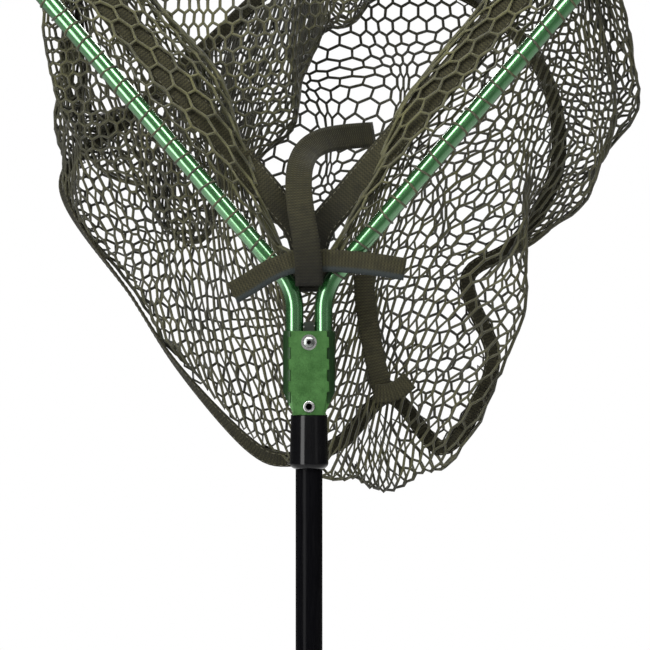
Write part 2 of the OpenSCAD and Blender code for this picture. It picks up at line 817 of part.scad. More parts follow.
module hoop_tube() {
    color("#2f8a3a")
        swept_tube(whole_hoop, [leg_gap / 2, leg_bottom], 90, tube_d, tube_wall);
}

module net_wall() {
    color("#4b4a34") loop_shell(
        layer(bag_wall, 0, last_row, -net_t / 2),
        layer(bag_wall, 0, last_row, net_t / 2),
        [2, last_row - 1]
    );
}

module net_floor() {
    middle = floor_at(0, 1);
    color("#4b4a34") loop_shell(
        layer(bag_floor, 0, floor_rows, -net_t / 2),
        layer(bag_floor, 0, floor_rows, net_t / 2),
        [0, floor_rows],
        [for (k = [1, -1]) middle + [0, k * net_t / 2, 0]]
    );
}

module rim_tape() {
    first = -net_t / 2 - soft_gap;
    color("#3a3226") loop_shell(layer(bag_wall, 1, 2, first - tape_t), layer(bag_wall, 1, 2, first));
}

module seam_tape() {
    first = -net_t / 2 - soft_gap;
    color("#3a3226") loop_shell(
        layer(bag_wall, last_row - 1, last_row, first - tape_t),
        layer(bag_wall, last_row - 1, last_row, first)
    );
}

module tie_tape() {
    color("#3a3226") translate([0, 0, yoke_top]) strip(tie_route, tie_tape_w, tape_t);
}

module drop_tape() {
    color("#3a3226") translate([0, 0, yoke_top]) strip(drop_route, drop_tape_w, tape_t);
}

module slack_tape() {
    color("#3a3226") translate([0, 0, yoke_top]) strip(slack_route, slack_tape_w, tape_t);
}

grip();
butt_cap();
lower_tube();
lock_sleeve();
lock_collet();
lock_nut();
upper_tube();
guide_bush();
tube_ferrule();
coupling_collar();
spigot();
front_yoke();
rear_yoke();
clamp_screw();
clamp_washer();
clamp_nut();
hollow_rivet();
hoop_tube();
net_wall();
net_floor();
rim_tape();
seam_tape();
tie_tape();
drop_tape();
slack_tape();
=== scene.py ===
# %% [markdown]
# # A landing net, dressed in Blender
#
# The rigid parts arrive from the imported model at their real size: a bent-tube hoop, the yoke block
# that clamps it, the collar and the handle. This lesson gives them their finishes and makes the soft
# goods by hand: the hexagonal netting, the twine that ties it to the hoop, and the webbing tapes.
# Everything is in metres, with +Z up along the handle and -Y towards the camera.

# %% Load the frame
import json
import math

import bpy
import numpy as np
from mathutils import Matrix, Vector


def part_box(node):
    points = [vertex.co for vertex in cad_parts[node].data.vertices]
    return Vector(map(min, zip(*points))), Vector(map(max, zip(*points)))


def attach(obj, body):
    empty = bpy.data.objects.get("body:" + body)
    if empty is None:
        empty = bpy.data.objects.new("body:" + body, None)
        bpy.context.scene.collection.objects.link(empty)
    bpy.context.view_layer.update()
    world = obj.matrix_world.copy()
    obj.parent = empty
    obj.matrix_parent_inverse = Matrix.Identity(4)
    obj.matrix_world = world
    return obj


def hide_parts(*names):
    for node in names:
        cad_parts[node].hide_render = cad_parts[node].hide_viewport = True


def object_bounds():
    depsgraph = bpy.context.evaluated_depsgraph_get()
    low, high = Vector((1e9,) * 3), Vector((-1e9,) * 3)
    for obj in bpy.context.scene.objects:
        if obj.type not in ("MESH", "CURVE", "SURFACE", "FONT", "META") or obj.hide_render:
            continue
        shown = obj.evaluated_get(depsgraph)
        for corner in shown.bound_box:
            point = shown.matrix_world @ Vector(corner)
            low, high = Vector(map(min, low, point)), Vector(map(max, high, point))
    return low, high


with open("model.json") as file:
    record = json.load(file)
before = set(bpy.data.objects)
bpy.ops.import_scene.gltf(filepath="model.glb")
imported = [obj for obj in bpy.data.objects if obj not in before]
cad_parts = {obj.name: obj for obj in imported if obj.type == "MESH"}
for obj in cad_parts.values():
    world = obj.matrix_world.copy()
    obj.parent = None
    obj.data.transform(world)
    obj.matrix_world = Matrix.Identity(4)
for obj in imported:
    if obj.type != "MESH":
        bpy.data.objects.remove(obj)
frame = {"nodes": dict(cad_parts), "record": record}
cad_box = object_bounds()
cad = frame["nodes"]
MM = 0.001
yoke_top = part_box("front_yoke")[1].z
tube_r = (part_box("hoop_tube")[1].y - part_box("hoop_tube")[0].y) / 2
print(f"{len(cad)} nodes, yoke top at {yoke_top:.4f} m, hoop tube radius {tube_r * 1000:.1f} mm")

# %% [markdown]
# ## The camera
#
# The picture looks straight at the plane of the hoop. One pixel there is 0.67 mm, because the hoop
# tube is 12 mm wide and covers 17.8 pixels. The lens follows from that and from a distance at which
# the front rim of the collar shows as a slight curve. A camera further off would flatten it.

# %% Camera
PICTURE = 650
MM_PER_PIXEL = 0.67
VIEW_DISTANCE = 1.5
SENSOR = 36.0
VIEW_CENTRE = Vector((0.0107, 0.0, yoke_top + 0.004))

lens = bpy.data.cameras.new("camera")
lens.sensor_width = SENSOR
lens.lens = SENSOR * VIEW_DISTANCE / (PICTURE * MM_PER_PIXEL * MM)
camera = bpy.data.objects.new("camera", lens)
camera.location = VIEW_CENTRE + Vector((0, -VIEW_DISTANCE, 0))
camera.rotation_euler = (math.pi / 2, 0, 0)
bpy.context.scene.collection.objects.link(camera)
bpy.context.scene.camera = camera
print(f"lens {lens.lens:.1f} mm")

# %% [markdown]
# ## Light and floor
#
# The photograph is a studio picture on white. Polished tube needs something dark to reflect as well,
# so the world is white only where the camera sees it directly. All other rays find it brighter in
# front and dim behind, which gives the tubes their dark edges. Five lamps do the rest: a broad one and
# a narrow strip, high in front, draw the long highlights on the arms, one on the left draws those on
# the legs and the collar, a weak one fills the right, and one behind lights the back of the bag.

# %% Floor and lamps
FLOOR_HALF = 14.0
FLOOR_DROP = 0.002


def add_object(name, data):
    """Link a new object that carries this data."""
    obj = bpy.data.objects.new(name, data)
    bpy.context.scene.collection.objects.link(obj)
    return obj


def mesh_object(name, points, faces, edges=()):
    """A mesh object at the origin from lists of points, faces and loose edges."""
    mesh = bpy.data.meshes.new(name)
    mesh.from_pydata([tuple(p) for p in points], edges, [tuple(f) for f in faces])
    mesh.update()
    return add_object(name, mesh)


floor_z = cad_box[0][2] - FLOOR_DROP
floor = mesh_object(
    "floor",
    [(x * FLOOR_HALF, y * FLOOR_HALF, floor_z) for x, y in ((-1, -1), (1, -1), (1, 1), (-1, 1))],
    [(0, 1, 2, 3)],
)

world = bpy.data.worlds.new("studio")
bpy.context.scene.world = world
world.use_nodes = True


def lamp(name, place, target, size, radiance):
    """A soft rectangular lamp at a place, turned to face a target, as bright as radiance says."""
    data = bpy.data.lights.new(name, "AREA")
    data.shape = "RECTANGLE"
    data.size, data.size_y = size
    data.energy = radiance * math.pi * size[0] * size[1]
    obj = add_object(name, data)
    obj.location = place
    obj.rotation_euler = (Vector(target) - Vector(place)).to_track_quat("-Z", "Y").to_euler()


AIM = (0, 0, yoke_top + 0.05)
LAMPS = (
    # name, place with its height above the yoke, size, radiance
    ("key_above", (0.0, -0.95, 1.25), (1.7, 0.8), 1.9),
    ("strip_above", (0.0, -0.9, 0.95), (1.9, 0.34), 13.0),
    ("side_left", (-0.95, -1.15, 0.1), (0.6, 1.3), 8.0),
    ("fill_right", (1.3, -1.3, 0.2), (0.5, 0.9), 0.4),
    ("back_above", (0.2, 1.5, 1.0), (1.5, 0.9), 12.0),
)
for name, (x, y, rise), size, radiance in LAMPS:
    lamp(name, (x, y, yoke_top + rise), AIM, size, radiance)
print(f"floor, world and {len(LAMPS)} lamps")

# %% [markdown]
# ## Building shaders from nodes
#
# A few helpers keep the node code short: one makes a node, sets its plain values and links the sockets
# that are handed in, and the others are the steps that come back most often. Effects that several
# finishes share become node groups. The first group is mottle, the slow change of tone that any real
# surface has, with finer grain over it.

# %% Make a node
def fill(tree, node, inputs):
    """Set a node's inputs, by name or number, to a value or to another node's output."""
    for key, value in inputs.items():
        if isinstance(value, bpy.types.NodeSocket):
            tree.links.new(value, node.inputs[key])
        else:
            node.inputs[key].default_value = value


def put(tree, kind, inputs=None, **settings):
    """Add a node with these settings and inputs."""
    node = tree.nodes.new(kind)
    for key, value in settings.items():
        setattr(node, key, value)
    fill(tree, node, inputs or {})
    return node


print("helpers that make a node and fill its inputs")


# %% Sums and blends
def calc(tree, operation, *values):
    """The result of one sum."""
    return put(tree, "ShaderNodeMath", dict(enumerate(values)), operation=operation).outputs[0]


def vector(tree, operation, value, other):
    """The result of one sum with vectors, where SCALE takes a number."""
    second = "Scale" if operation == "SCALE" else 1
    return put(tree, "ShaderNodeVectorMath", {0: value, second: other}, operation=operation).outputs[0]


def fade(tree, value, low, high, start=0.0, end=1.0):
    """A number that runs from start to end while a value runs from low to high."""
    return put(tree, "ShaderNodeMapRange", {
        "Value": value, "From Min": low, "From Max": high, "To Min": start, "To Max": end,
    }).outputs[0]


def blend(tree, share, first, second):
    """A colour part of the way from one colour to another."""
    return put(tree, "ShaderNodeMix", {0: share, 6: first, 7: second}, data_type="RGBA").outputs[2]


def bumped(tree, height, strength, depth):
    """A surface direction that follows a height."""
    node = put(tree, "ShaderNodeBump", {"Height": height, "Strength": strength, "Distance": depth})
    return node.outputs["Normal"]


def object_place(tree):
    """Where a point lies on its object, in metres."""
    return put(tree, "ShaderNodeTexCoord").outputs["Object"]


print("helpers for sums, fades, blends and bumps")


# %% Groups and materials
def new_group(name, inputs, outputs, tree_kind="ShaderNodeTree"):
    """An empty node group with named sockets: (name, kind, default), and (name, kind) on the way out."""
    group = bpy.data.node_groups.new(name, tree_kind)
    for title, kind, value in inputs:
        socket = group.interface.new_socket(title, in_out="INPUT", socket_type=kind)
        if value is not None:
            socket.default_value = value
    for title, kind in outputs:
        group.interface.new_socket(title, in_out="OUTPUT", socket_type=kind)
    return group, group.nodes.new("NodeGroupInput").outputs, group.nodes.new("NodeGroupOutput")


def new_finish(name, group, values):
    """A new material with a shared group: material, tree, shader and the group's outputs."""
    material = bpy.data.materials.new(name)
    material.use_nodes = True
    tree = material.node_tree
    shared = put(tree, "ShaderNodeGroup", values, node_tree=group)
    return material, tree, tree.nodes["Principled BSDF"], shared.outputs


print("helpers for shared groups and new materials")

# %% Mottle
COLOUR = "NodeSocketColor"
VALUE = "NodeSocketFloat"
VECTOR = "NodeSocketVector"
TONE_BAND = (0.75, 1.25)
ROUGH_BAND = (0.7, 1.3)


def mottle_group():
    """Tone, roughness and height that wander over a surface."""
    group, given, out = new_group(
        "mottle",
        [
            ("Light", COLOUR, (0.5, 0.5, 0.5, 1)), ("Dark", COLOUR, (0.3, 0.3, 0.3, 1)),
            ("Patch size", VALUE, 60.0), ("Grain size", VALUE, 900.0),
            ("Stretch", VECTOR, (1, 1, 1)), ("Low roughness", VALUE, 0.3), ("High roughness", VALUE, 0.5),
        ],
        [("Colour", COLOUR), ("Roughness", VALUE), ("Height", VALUE)],
    )
    stretched = put(group, "ShaderNodeMapping", {"Vector": object_place(group), "Scale": given["Stretch"]})
    patches, grain = (
        put(group, "ShaderNodeTexNoise", {
            "Vector": stretched.outputs[0], "Scale": given[size], "Detail": detail,
        }).outputs["Fac"]
        for size, detail in (("Patch size", 4.0), ("Grain size", 2.0))
    )
    both = calc(group, "ADD", patches, grain)
    fill(group, out, {
        "Colour": blend(group, fade(group, both, *TONE_BAND), given["Dark"], given["Light"]),
        "Roughness": fade(group, both, *ROUGH_BAND, given["Low roughness"], given["High roughness"]),
        "Height": grain,
    })
    return group


MOTTLE = mottle_group()
print("group", MOTTLE.name)

# %% [markdown]
# ## Metal, plastic and rubber
#
# The hoop is aluminium tube, anodised bright green: a metal whose colour sits in a clear oxide skin,
# which the shader's coat stands for. The yoke is the same metal with a satin, almost flat face. Collar
# and tubes are black: one a gloss moulding, the others satin paint. One function makes them all from
# the mottle group, and each finish is a short list of values.

# %% Hard finishes
GRAIN_DEPTH = 0.4 * MM
COAT_IOR = 1.9


def hard_finish(
    name, light, dark, rough, metal=0.0, coat=0.0, coat_rough=0.06, specular=0.5,
    patch=60.0, grain=900.0, stretch=(1, 1, 1), bump=0.02,
):
    """A metal, plastic or rubber finish with a wandering tone and a fine grain."""
    material, tree, shader, mottle = new_finish(name, MOTTLE, {
        "Light": (*light, 1), "Dark": (*dark, 1), "Patch size": patch, "Grain size": grain,
        "Stretch": stretch, "Low roughness": rough[0], "High roughness": rough[1],
    })
    fill(tree, shader, {
        "Base Color": mottle["Colour"], "Roughness": mottle["Roughness"],
        "Normal": bumped(tree, mottle["Height"], bump, GRAIN_DEPTH),
        "Metallic": metal, "Specular IOR Level": specular,
        "Coat Weight": coat, "Coat Roughness": coat_rough, "Coat IOR": COAT_IOR,
    })
    return material


ALONG_HANDLE = (1, 1, 0.06)
FINISHES = {
    "tube_green": hard_finish(
        "green_anodised_tube", (0.036, 0.175, 0.046), (0.030, 0.150, 0.038), (0.25, 0.27),
        metal=0.85, coat=0.9, coat_rough=0.13, grain=300.0, bump=0.0,
    ),
    "yoke_green": hard_finish(
        "green_satin", (0.046, 0.150, 0.030), (0.028, 0.104, 0.018), (0.34, 0.5), metal=0.4
    ),
    "collar_black": hard_finish(
        "black_gloss_moulding", (0.003, 0.003, 0.0035), (0.0015, 0.0015, 0.002), (0.1, 0.16), specular=0.18
    ),
    "handle_black": hard_finish(
        "black_satin_tube", (0.003, 0.003, 0.0035), (0.0015, 0.0015, 0.002), (0.2, 0.3),
        specular=0.03, stretch=ALONG_HANDLE,
    ),
    "lock_black": hard_finish(
        "black_grained_moulding", (0.012, 0.012, 0.013), (0.007, 0.007, 0.007), (0.45, 0.6),
        grain=2200.0, bump=0.2,
    ),
    "grip_foam": hard_finish(
        "black_foam", (0.026, 0.026, 0.025), (0.013, 0.013, 0.013), (0.75, 0.95), grain=1600.0, bump=0.5
    ),
    "butt_rubber": hard_finish(
        "black_rubber", (0.02, 0.02, 0.02), (0.012, 0.012, 0.012), (0.6, 0.8), bump=0.2
    ),
    "bush_white": hard_finish("ivory_nylon", (0.70, 0.66, 0.56), (0.60, 0.56, 0.47), (0.4, 0.55)),
    "plain_aluminium": hard_finish(
        "turned_aluminium", (0.66, 0.67, 0.68), (0.55, 0.56, 0.57), (0.25, 0.4), metal=1.0, stretch=(1, 1, 8)
    ),
    "spigot_dark": hard_finish(
        "dark_anodised", (0.014, 0.020, 0.013), (0.008, 0.012, 0.008), (0.4, 0.55), metal=0.4
    ),
    "steel": hard_finish("bright_steel", (0.74, 0.75, 0.74), (0.60, 0.61, 0.60), (0.18, 0.32), metal=1.0),
}


def dress(obj, material):
    """Give an object this one material."""
    obj.data.materials.clear()
    obj.data.materials.append(material)


slots = {row["node"]: row["material_slot"] for row in frame["record"]["subparts"]}
rigid = [name for name in cad if slots[name] in FINISHES]
for name in rigid:
    dress(cad[name], FINISHES[slots[name]])
print(f"{len(rigid)} rigid nodes dressed in {len(FINISHES)} finishes")

# %% [markdown]
# ## Screw, rivet and yoke
#
# Three finishes need to know where they are. The screw has a socket and the rivet a hole, both painted
# black as painted shade, since no light reaches the bottom. The yoke's plate has edges that step in and
# out, and the side of the block behind them is painted darker, as painted shade. Object coordinates are
# real metres here, so a finish can measure from the middle of its node.

# %% Finishes with a place
SOCKET_R, RIVET_HOLE_R = 1.4 * MM, 2.2 * MM
HOLE_EDGE = 0.15 * MM
PAINTED_HOLE_SHADE = (0.004, 0.004, 0.004, 1)
PLATE_HALF = 13.75 * MM
PLATE_EDGE, PLATE_STEP = 0.4 * MM, 0.8 * MM
LAND_START, LAND_PITCH, LAND_H, LAND_DEPTH = 4 * MM, 14.75 * MM, 7 * MM, 1.5 * MM
SIDE_PAINTED_SHADE = (0.007, 0.030, 0.006, 1)
YOKE_BEVEL, BEVEL_ANGLE = 0.6 * MM, math.radians(35)


def opened(material):
    """A finish's node tree and shader, and the outputs that feed the shader, to build on."""
    tree = material.node_tree
    shader = tree.nodes["Principled BSDF"]
    feeds = {link.to_socket.name: link.from_socket for link in tree.links if link.to_node == shader}
    return tree, shader, feeds


def holed_steel(name, node, hole, light, dark):
    """Steel with black painted shade inside a round hole in the middle of a node, seen along the Y axis."""
    material = hard_finish(name, light, dark, (0.2, 0.34), metal=1.0)
    tree, shader, plain = opened(material)
    low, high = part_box(node)
    from_middle = vector(tree, "SUBTRACT", object_place(tree), (low + high) / 2)
    flat = vector(tree, "MULTIPLY", from_middle, (1, 0, 1))
    far = put(tree, "ShaderNodeVectorMath", {0: flat}, operation="LENGTH").outputs["Value"]
    # steel is 0 inside the hole, where the colour is painted shade, black and not metallic
    steel = fade(tree, far, hole, hole + HOLE_EDGE)
    fill(tree, shader, {
        "Base Color": blend(tree, steel, PAINTED_HOLE_SHADE, plain["Base Color"]),
        "Metallic": steel, "Specular IOR Level": 0.1,
    })
    return material


def land_finish(name):
    """The yoke's finish, with painted shade on the sides beyond its plate, whose edges step out at each
    land.
    """
    material = hard_finish(
        name, (0.036, 0.112, 0.024), (0.021, 0.074, 0.014), (0.34, 0.5),
        metal=0.4, patch=140.0, grain=1500.0, bump=0.15,
    )
    tree, shader, plain = opened(material)
    axes = put(tree, "ShaderNodeSeparateXYZ", {0: object_place(tree)}).outputs
    below = calc(tree, "SUBTRACT", yoke_top - LAND_START, axes["Z"])
    notch = calc(tree, "GREATER_THAN", calc(tree, "FLOORED_MODULO", below, LAND_PITCH), LAND_H)
    reach = calc(tree, "ADD", calc(tree, "ABSOLUTE", axes["X"]), calc(tree, "MULTIPLY", notch, LAND_DEPTH))
    # side is 1 beyond the plate's stepped edge, where the block's sides get painted shade; the same mask
    # steps the bump
    side = fade(tree, reach, PLATE_HALF - PLATE_EDGE, PLATE_HALF + PLATE_EDGE)
    edge = put(tree, "ShaderNodeBump", {
        "Height": side, "Distance": -PLATE_STEP, "Normal": plain["Normal"],
    })
    fill(tree, shader, {
        "Base Color": blend(tree, side, plain["Base Color"], SIDE_PAINTED_SHADE),
        "Normal": edge.outputs[0],
    })
    return material


dress(cad["clamp_screw"], holed_steel(
    "screw_steel", "clamp_screw", SOCKET_R, (0.20, 0.21, 0.20), (0.14, 0.15, 0.14)
))
dress(cad["hollow_rivet"], holed_steel(
    "rivet_steel", "hollow_rivet", RIVET_HOLE_R, (0.74, 0.75, 0.74), (0.6, 0.61, 0.6)
))
for name in ("front_yoke", "rear_yoke"):
    dress(cad[name], land_finish(name + "_finish"))
    bevel = cad[name].modifiers.new("edges", "BEVEL")
    bevel.width = YOKE_BEVEL
    bevel.segments = 2
    bevel.limit_method = "ANGLE"
    bevel.angle_limit = BEVEL_ANGLE
print("screw, rivet and both halves of the yoke have finishes of their own")

# %% [markdown]
# ## The white background
#
# With the helpers at hand, the world and the floor get their materials. Both ask what kind of ray has
# met them. A ray from the camera sees plain white, and any other sees a dim room and a pale floor.

# %% World and floor
FRONT_GLOW, BACK_GLOW = 0.32, 0.08
GLOW_BAND = (-1.0, 0.15)
WHITE = (1, 1, 1, 1)
ROOM_LIGHT = (1, 0.99, 0.96, 1)


def light_world():
    """White for the camera, and a soft room, brighter in front, for everything else."""
    tree = world.node_tree
    tree.nodes.clear()
    path = put(tree, "ShaderNodeLightPath")
    heading = put(tree, "ShaderNodeSeparateXYZ", {0: put(tree, "ShaderNodeTexCoord").outputs["Generated"]})
    glow = fade(tree, heading.outputs["Y"], *GLOW_BAND, FRONT_GLOW, BACK_GLOW)
    seen = put(tree, "ShaderNodeBackground", {"Color": WHITE, "Strength": 1.0})
    room = put(tree, "ShaderNodeBackground", {"Color": ROOM_LIGHT, "Strength": glow})
    mixed = put(tree, "ShaderNodeMixShader", {
        0: path.outputs["Is Camera Ray"], 1: room.outputs[0], 2: seen.outputs[0],
    })
    put(tree, "ShaderNodeOutputWorld", {"Surface": mixed.outputs[0]})


def white_floor():
    """A pale floor that is as white as the background where the camera sees it."""
    material = hard_finish(
        "pale_floor", (0.86, 0.86, 0.86), (0.84, 0.84, 0.84), (0.7, 0.8), patch=2.0, grain=40.0
    )
    tree, shader, _ = opened(material)
    path = put(tree, "ShaderNodeLightPath")
    glow = put(tree, "ShaderNodeEmission", {"Color": WHITE, "Strength": 1.0})
    mixed = put(tree, "ShaderNodeMixShader", {
        0: path.outputs["Is Camera Ray"], 1: shader.outputs[0], 2: glow.outputs[0],
    })
    fill(tree, tree.nodes["Material Output"], {"Surface": mixed.outputs[0]})
    return material


light_world()
dress(floor, white_floor())
bpy.context.scene.view_settings.view_transform = "Standard"
print("white behind the net, dimmer all round it")

# %% [markdown]
# ## The hoop as a path
#
# The hoop is one tube: leg, bend, long arm, corner, shallow bow, and back down the other side.
# Walking along a list of straights and bends gives any point on it and the heading there. The same
# walk places the tube, the twine loops and the rim of the bag, so they always agree.

# %% Walk along the hoop
LEG_GAP = 19.4 * MM
LEG_SEAT = 38 * MM
LEG_RISE = 14 * MM
BEND_R = 38 * MM
ARM_LEAN = math.radians(40.5)
ARM_L = 335 * MM
CORNER_R = 70 * MM
BOW_SLOPE = math.radians(8)
CORNER_TURN = ARM_LEAN + math.pi / 2 - BOW_SLOPE


def step_length(step):
    """Length of one straight (length, 0) or bend (radius, turn)."""
    size, turn = step
    return size if turn == 0 else size * abs(turn)


def step_ahead(place, heading, step, run):
    """Place and heading after a run along one step."""
    size, turn = step
    if turn == 0:
        return place + run * np.array([math.cos(heading), math.sin(heading)]), heading
    part = turn * run / step_length(step)
    side = math.copysign(size, turn)
    move = np.array([
        math.sin(heading + part) - math.sin(heading),
        math.cos(heading) - math.cos(heading + part),
    ])
    return place + side * move, heading + part


def walk(steps, run, place, heading):
    """Place and heading after a run along a whole list of steps."""
    for step in steps[:-1]:
        if run <= step_length(step):
            return step_ahead(place, heading, step, run)
        place, heading = step_ahead(place, heading, step, step_length(step))
        run -= step_length(step)
    return step_ahead(place, heading, steps[-1], run)


arm_start = np.array([
    LEG_GAP / 2 + BEND_R * (1 - math.cos(ARM_LEAN)),
    yoke_top + LEG_RISE + BEND_R * math.sin(ARM_LEAN),
])
arm_heading = math.pi / 2 - ARM_LEAN
arm_and_corner = [(ARM_L, 0), (CORNER_R, CORNER_TURN)]
corner_end, _ = walk(arm_and_corner, ARM_L + CORNER_R * CORNER_TURN, arm_start, arm_heading)
bow_r = corner_end[0] / math.sin(BOW_SLOPE)
rim_steps = arm_and_corner + [(bow_r, BOW_SLOPE)]
rim_length = sum(map(step_length, rim_steps))
side_steps = [(LEG_SEAT + LEG_RISE, 0), (BEND_R, -ARM_LEAN)] + arm_and_corner
hoop_steps = side_steps + [(bow_r, 2 * BOW_SLOPE)] + side_steps[::-1]
hoop_length = sum(map(step_length, hoop_steps))
leg_foot = np.array([LEG_GAP / 2, yoke_top - LEG_SEAT])
print(f"hoop {hoop_length:.3f} m of tube, {2 * rim_length:.3f} m of it round the mouth")

# %% [markdown]
# ## The hoop tube
#
# The solid model draws the tube with flat facets, which would break the long highlight that makes it
# read as polished metal. A finer tube along the same path replaces it. It is swept by hand, ring by
# ring, with closed ends inside the yoke.

# %% Hoop tube
TUBE_SIDES = 40
BEND_RINGS, STRAIGHT_RINGS = 24, 3


def hoop_stops():
    """Distances along the hoop where the tube needs a ring: many on a bend, few on a straight."""
    stops = [0.0]
    for step in hoop_steps:
        count = STRAIGHT_RINGS if step[1] == 0 else BEND_RINGS
        stops += [stops[-1] + step_length(step) * k / count for k in range(1, count + 1)]
    return stops


def tube_rings(poses, radius, sides):
    """Rings of points square to a path in the plane of the hoop."""
    rings = []
    for (x, z), heading in poses:
        for k in range(sides):
            turn = 2 * math.pi * k / sides
            across, y = radius * math.cos(turn), radius * math.sin(turn)
            rings.append((x - across * math.sin(heading), y, z + across * math.cos(heading)))
    return rings


def ring_faces(count, sides):
    """Quads between rings, with a cap at each end."""
    faces = []
    for i in range(count - 1):
        for k in range(sides):
            a, b = i * sides + k, i * sides + (k + 1) % sides
            faces.append((a, a + sides, b + sides, b))
    faces.append(tuple(range(sides)))
    faces.append(tuple(range(count * sides - 1, (count - 1) * sides - 1, -1)))
    return faces


def smooth(obj):
    """Shade all faces of an object smoothly."""
    obj.data.polygons.foreach_set("use_smooth", [True] * len(obj.data.polygons))


def on_head(obj, node=None):
    """Let a piece ride on the head, and replace a node of the solid model if one is given."""
    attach(obj, "head")
    if node:
        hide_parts(node)


poses = [walk(hoop_steps, run, leg_foot, math.pi / 2) for run in hoop_stops()]
hoop = mesh_object("hoop", tube_rings(poses, tube_r, TUBE_SIDES), ring_faces(len(poses), TUBE_SIDES))
smooth(hoop)
dress(hoop, FINISHES["tube_green"])
on_head(hoop, "hoop_tube")
print(f"hoop tube with {len(hoop.data.polygons)} faces")

# %% [markdown]
# ## The stub in the rivet
#
# A hollow rivet is set by pulling a pin through it, and the pin's head stays in the far end. Its stub
# closes the hole, and its near-black colour is painted shade that keeps the hole black. The stub is a
# short plug, two rings with a cap on each end.

# %% Rivet stub
STUB_R = 2.05 * MM
STUB_NEAR, STUB_FAR = 0.6, 0.95


def plug(name, node, radius, near, far):
    """A round plug along the Y axis of a node, between two shares of its depth."""
    low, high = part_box(node)
    middle = (low + high) / 2
    points = []
    for share in (near, far):
        for k in range(TUBE_SIDES):
            turn = 2 * math.pi * k / TUBE_SIDES
            y = low.y + share * (high.y - low.y)
            points.append((middle.x + radius * math.cos(turn), y, middle.z + radius * math.sin(turn)))
    return mesh_object(name, points, ring_faces(2, TUBE_SIDES))


stub = plug("rivet_stub", "hollow_rivet", STUB_R, STUB_NEAR, STUB_FAR)
# The stub's near-black colour is painted shade in the bore of the rivet
dress(stub, hard_finish(
    "stub_steel_painted_shade", (0.006, 0.006, 0.006), (0.003, 0.003, 0.003), (0.5, 0.7), specular=0.05
))
on_head(stub)
print(f"stub {2 * STUB_R / MM:.1f} mm across in the rivet")

# %% [markdown]
# ## The shape of the bag
#
# The bag has a wall that hangs from the hoop and a floor panel sewn to it along a seam. Here the wall
# is only a function of two numbers: a place round the mouth, from 0 at the crotch over the right arm
# and the bow and back, and a share of the way from hoop to seam. The seam's route was chosen from the
# picture. The wall starts inwards and back, then falls to the seam. It has slack at the
# bottom, where it hangs below the seam, and on both sides, where it stands out past it.

# %% Rim and seam
SEAM_ROUTE = np.array([
    [-14, 70, -90], [22, 72, -78], [56, 78, -46], [92, 72, -82], [118, 79, -50], [129, 85, -16],
    [112, 95, 37], [148, 100, 64], [178, 111, 121], [166, 120, 190], [108, 124, 245], [0, 126, 262],
    [-76, 124, 205], [-128, 118, 156], [-177, 108, 104], [-125, 92, 22], [-91, 83, -28], [-42, 72, -80],
]) * MM + np.array([0, 0, yoke_top])
SEAM_TOP = 11
NET_T = 1.5 * MM
SOFT_GAP = 0.4 * MM
RIM_INSET = tube_r + NET_T / 2 + SOFT_GAP
RIM_IN = 150 * MM
CROTCH_SHARE = 1.1
seam_chords = np.linalg.norm(np.roll(SEAM_ROUTE, -1, axis=0) - SEAM_ROUTE, axis=1)
seam_halves = (seam_chords[:SEAM_TOP].sum(), seam_chords[SEAM_TOP:].sum())


def spline(a, b, c, d, t):
    """Smooth curve from b to c that takes its slope from the neighbours a and d."""
    return 0.5 * (2 * b + (c - a) * t + (2 * a - 5 * b + 4 * c - d) * t**2 + (3 * b - a - 3 * c + d) * t**3)


def seam_at(u):
    """Point on the seam at a place round the mouth."""
    u %= 1.0
    right = u <= 0.5
    i = 0 if right else SEAM_TOP
    run = 2 * u * seam_halves[0] if right else (2 * u - 1) * seam_halves[1]
    while run > seam_chords[i] and i < len(seam_chords) - 1:
        run -= seam_chords[i]
        i += 1
    count = len(SEAM_ROUTE)
    near = [SEAM_ROUTE[(i + k) % count] for k in (-1, 0, 1, 2)]
    return spline(*near, run / seam_chords[i])


def hoop_at(u):
    """Point on the hoop's centre line at a place round the mouth, its side and the heading there."""
    side = 1 if u <= 0.5 else -1
    (x, z), heading = walk(rim_steps, 2 * min(u, 1 - u) * rim_length, arm_start, arm_heading)
    return np.array([side * x, 0, z]), side, heading


def rim_at(u):
    """Point on the rim of the bag, the direction to the middle of the mouth, and the pull that way."""
    middle, side, heading = hoop_at(u % 1.0)
    inward = np.array([-side * math.sin(heading), 0, math.cos(heading)])
    rim = middle + RIM_INSET * inward
    pull = RIM_IN if heading > math.pi / 2 else min(RIM_IN, CROTCH_SHARE * abs(rim[0] / inward[0]))
    return rim, inward, pull


print(f"seam {seam_chords.sum():.3f} m round, crotch pull {rim_at(0)[2] / MM:.1f} mm")

# %% Wall
RIM_BACK = 30 * MM
SEAM_EASE = 17 * MM
BAG_LOW = yoke_top - 130 * MM
SAG_LIFT = 20 * MM
SAG_SHARE = 0.444  # the most that the third point of the wall's curve counts for
SAG_PLACE = 0.075
SIDE_SLACK = ((0.305, 136 * MM, 9), (0.205, 84 * MM, 30), (0.65, -76 * MM, 8))


def slack_near(u, place, narrow=8):
    """1 at a place round the mouth, falling to 0 on both sides of it."""
    return max(0.0, math.cos(2 * math.pi * (u - place))) ** narrow


def wall_at(u, v):
    """The bare wall at a place round the mouth, for one share of the way down or a row of them."""
    v = np.asarray(v, dtype=float)[..., None]
    rim, inward, pull = rim_at(u)
    seam = seam_at(u)
    first = rim + pull * inward + np.array([0, RIM_BACK, 0])
    second = seam + np.array([
        sum(size * slack_near(u, place, narrow) for place, size, narrow in SIDE_SLACK),
        -SEAM_EASE,
        -max(0.0, seam[2] - BAG_LOW + SAG_LIFT) / SAG_SHARE * slack_near(u, SAG_PLACE),
    ])
    return (1 - v)**3 * rim + 3 * (1 - v)**2 * v * first + 3 * (1 - v) * v**2 * second + v**3 * seam


lowest = wall_at(SAG_PLACE, np.linspace(0, 1, 50))[:, 2].min()
print(f"wall hangs down to {(yoke_top - lowest) / MM:.0f} mm below the top of the yoke")

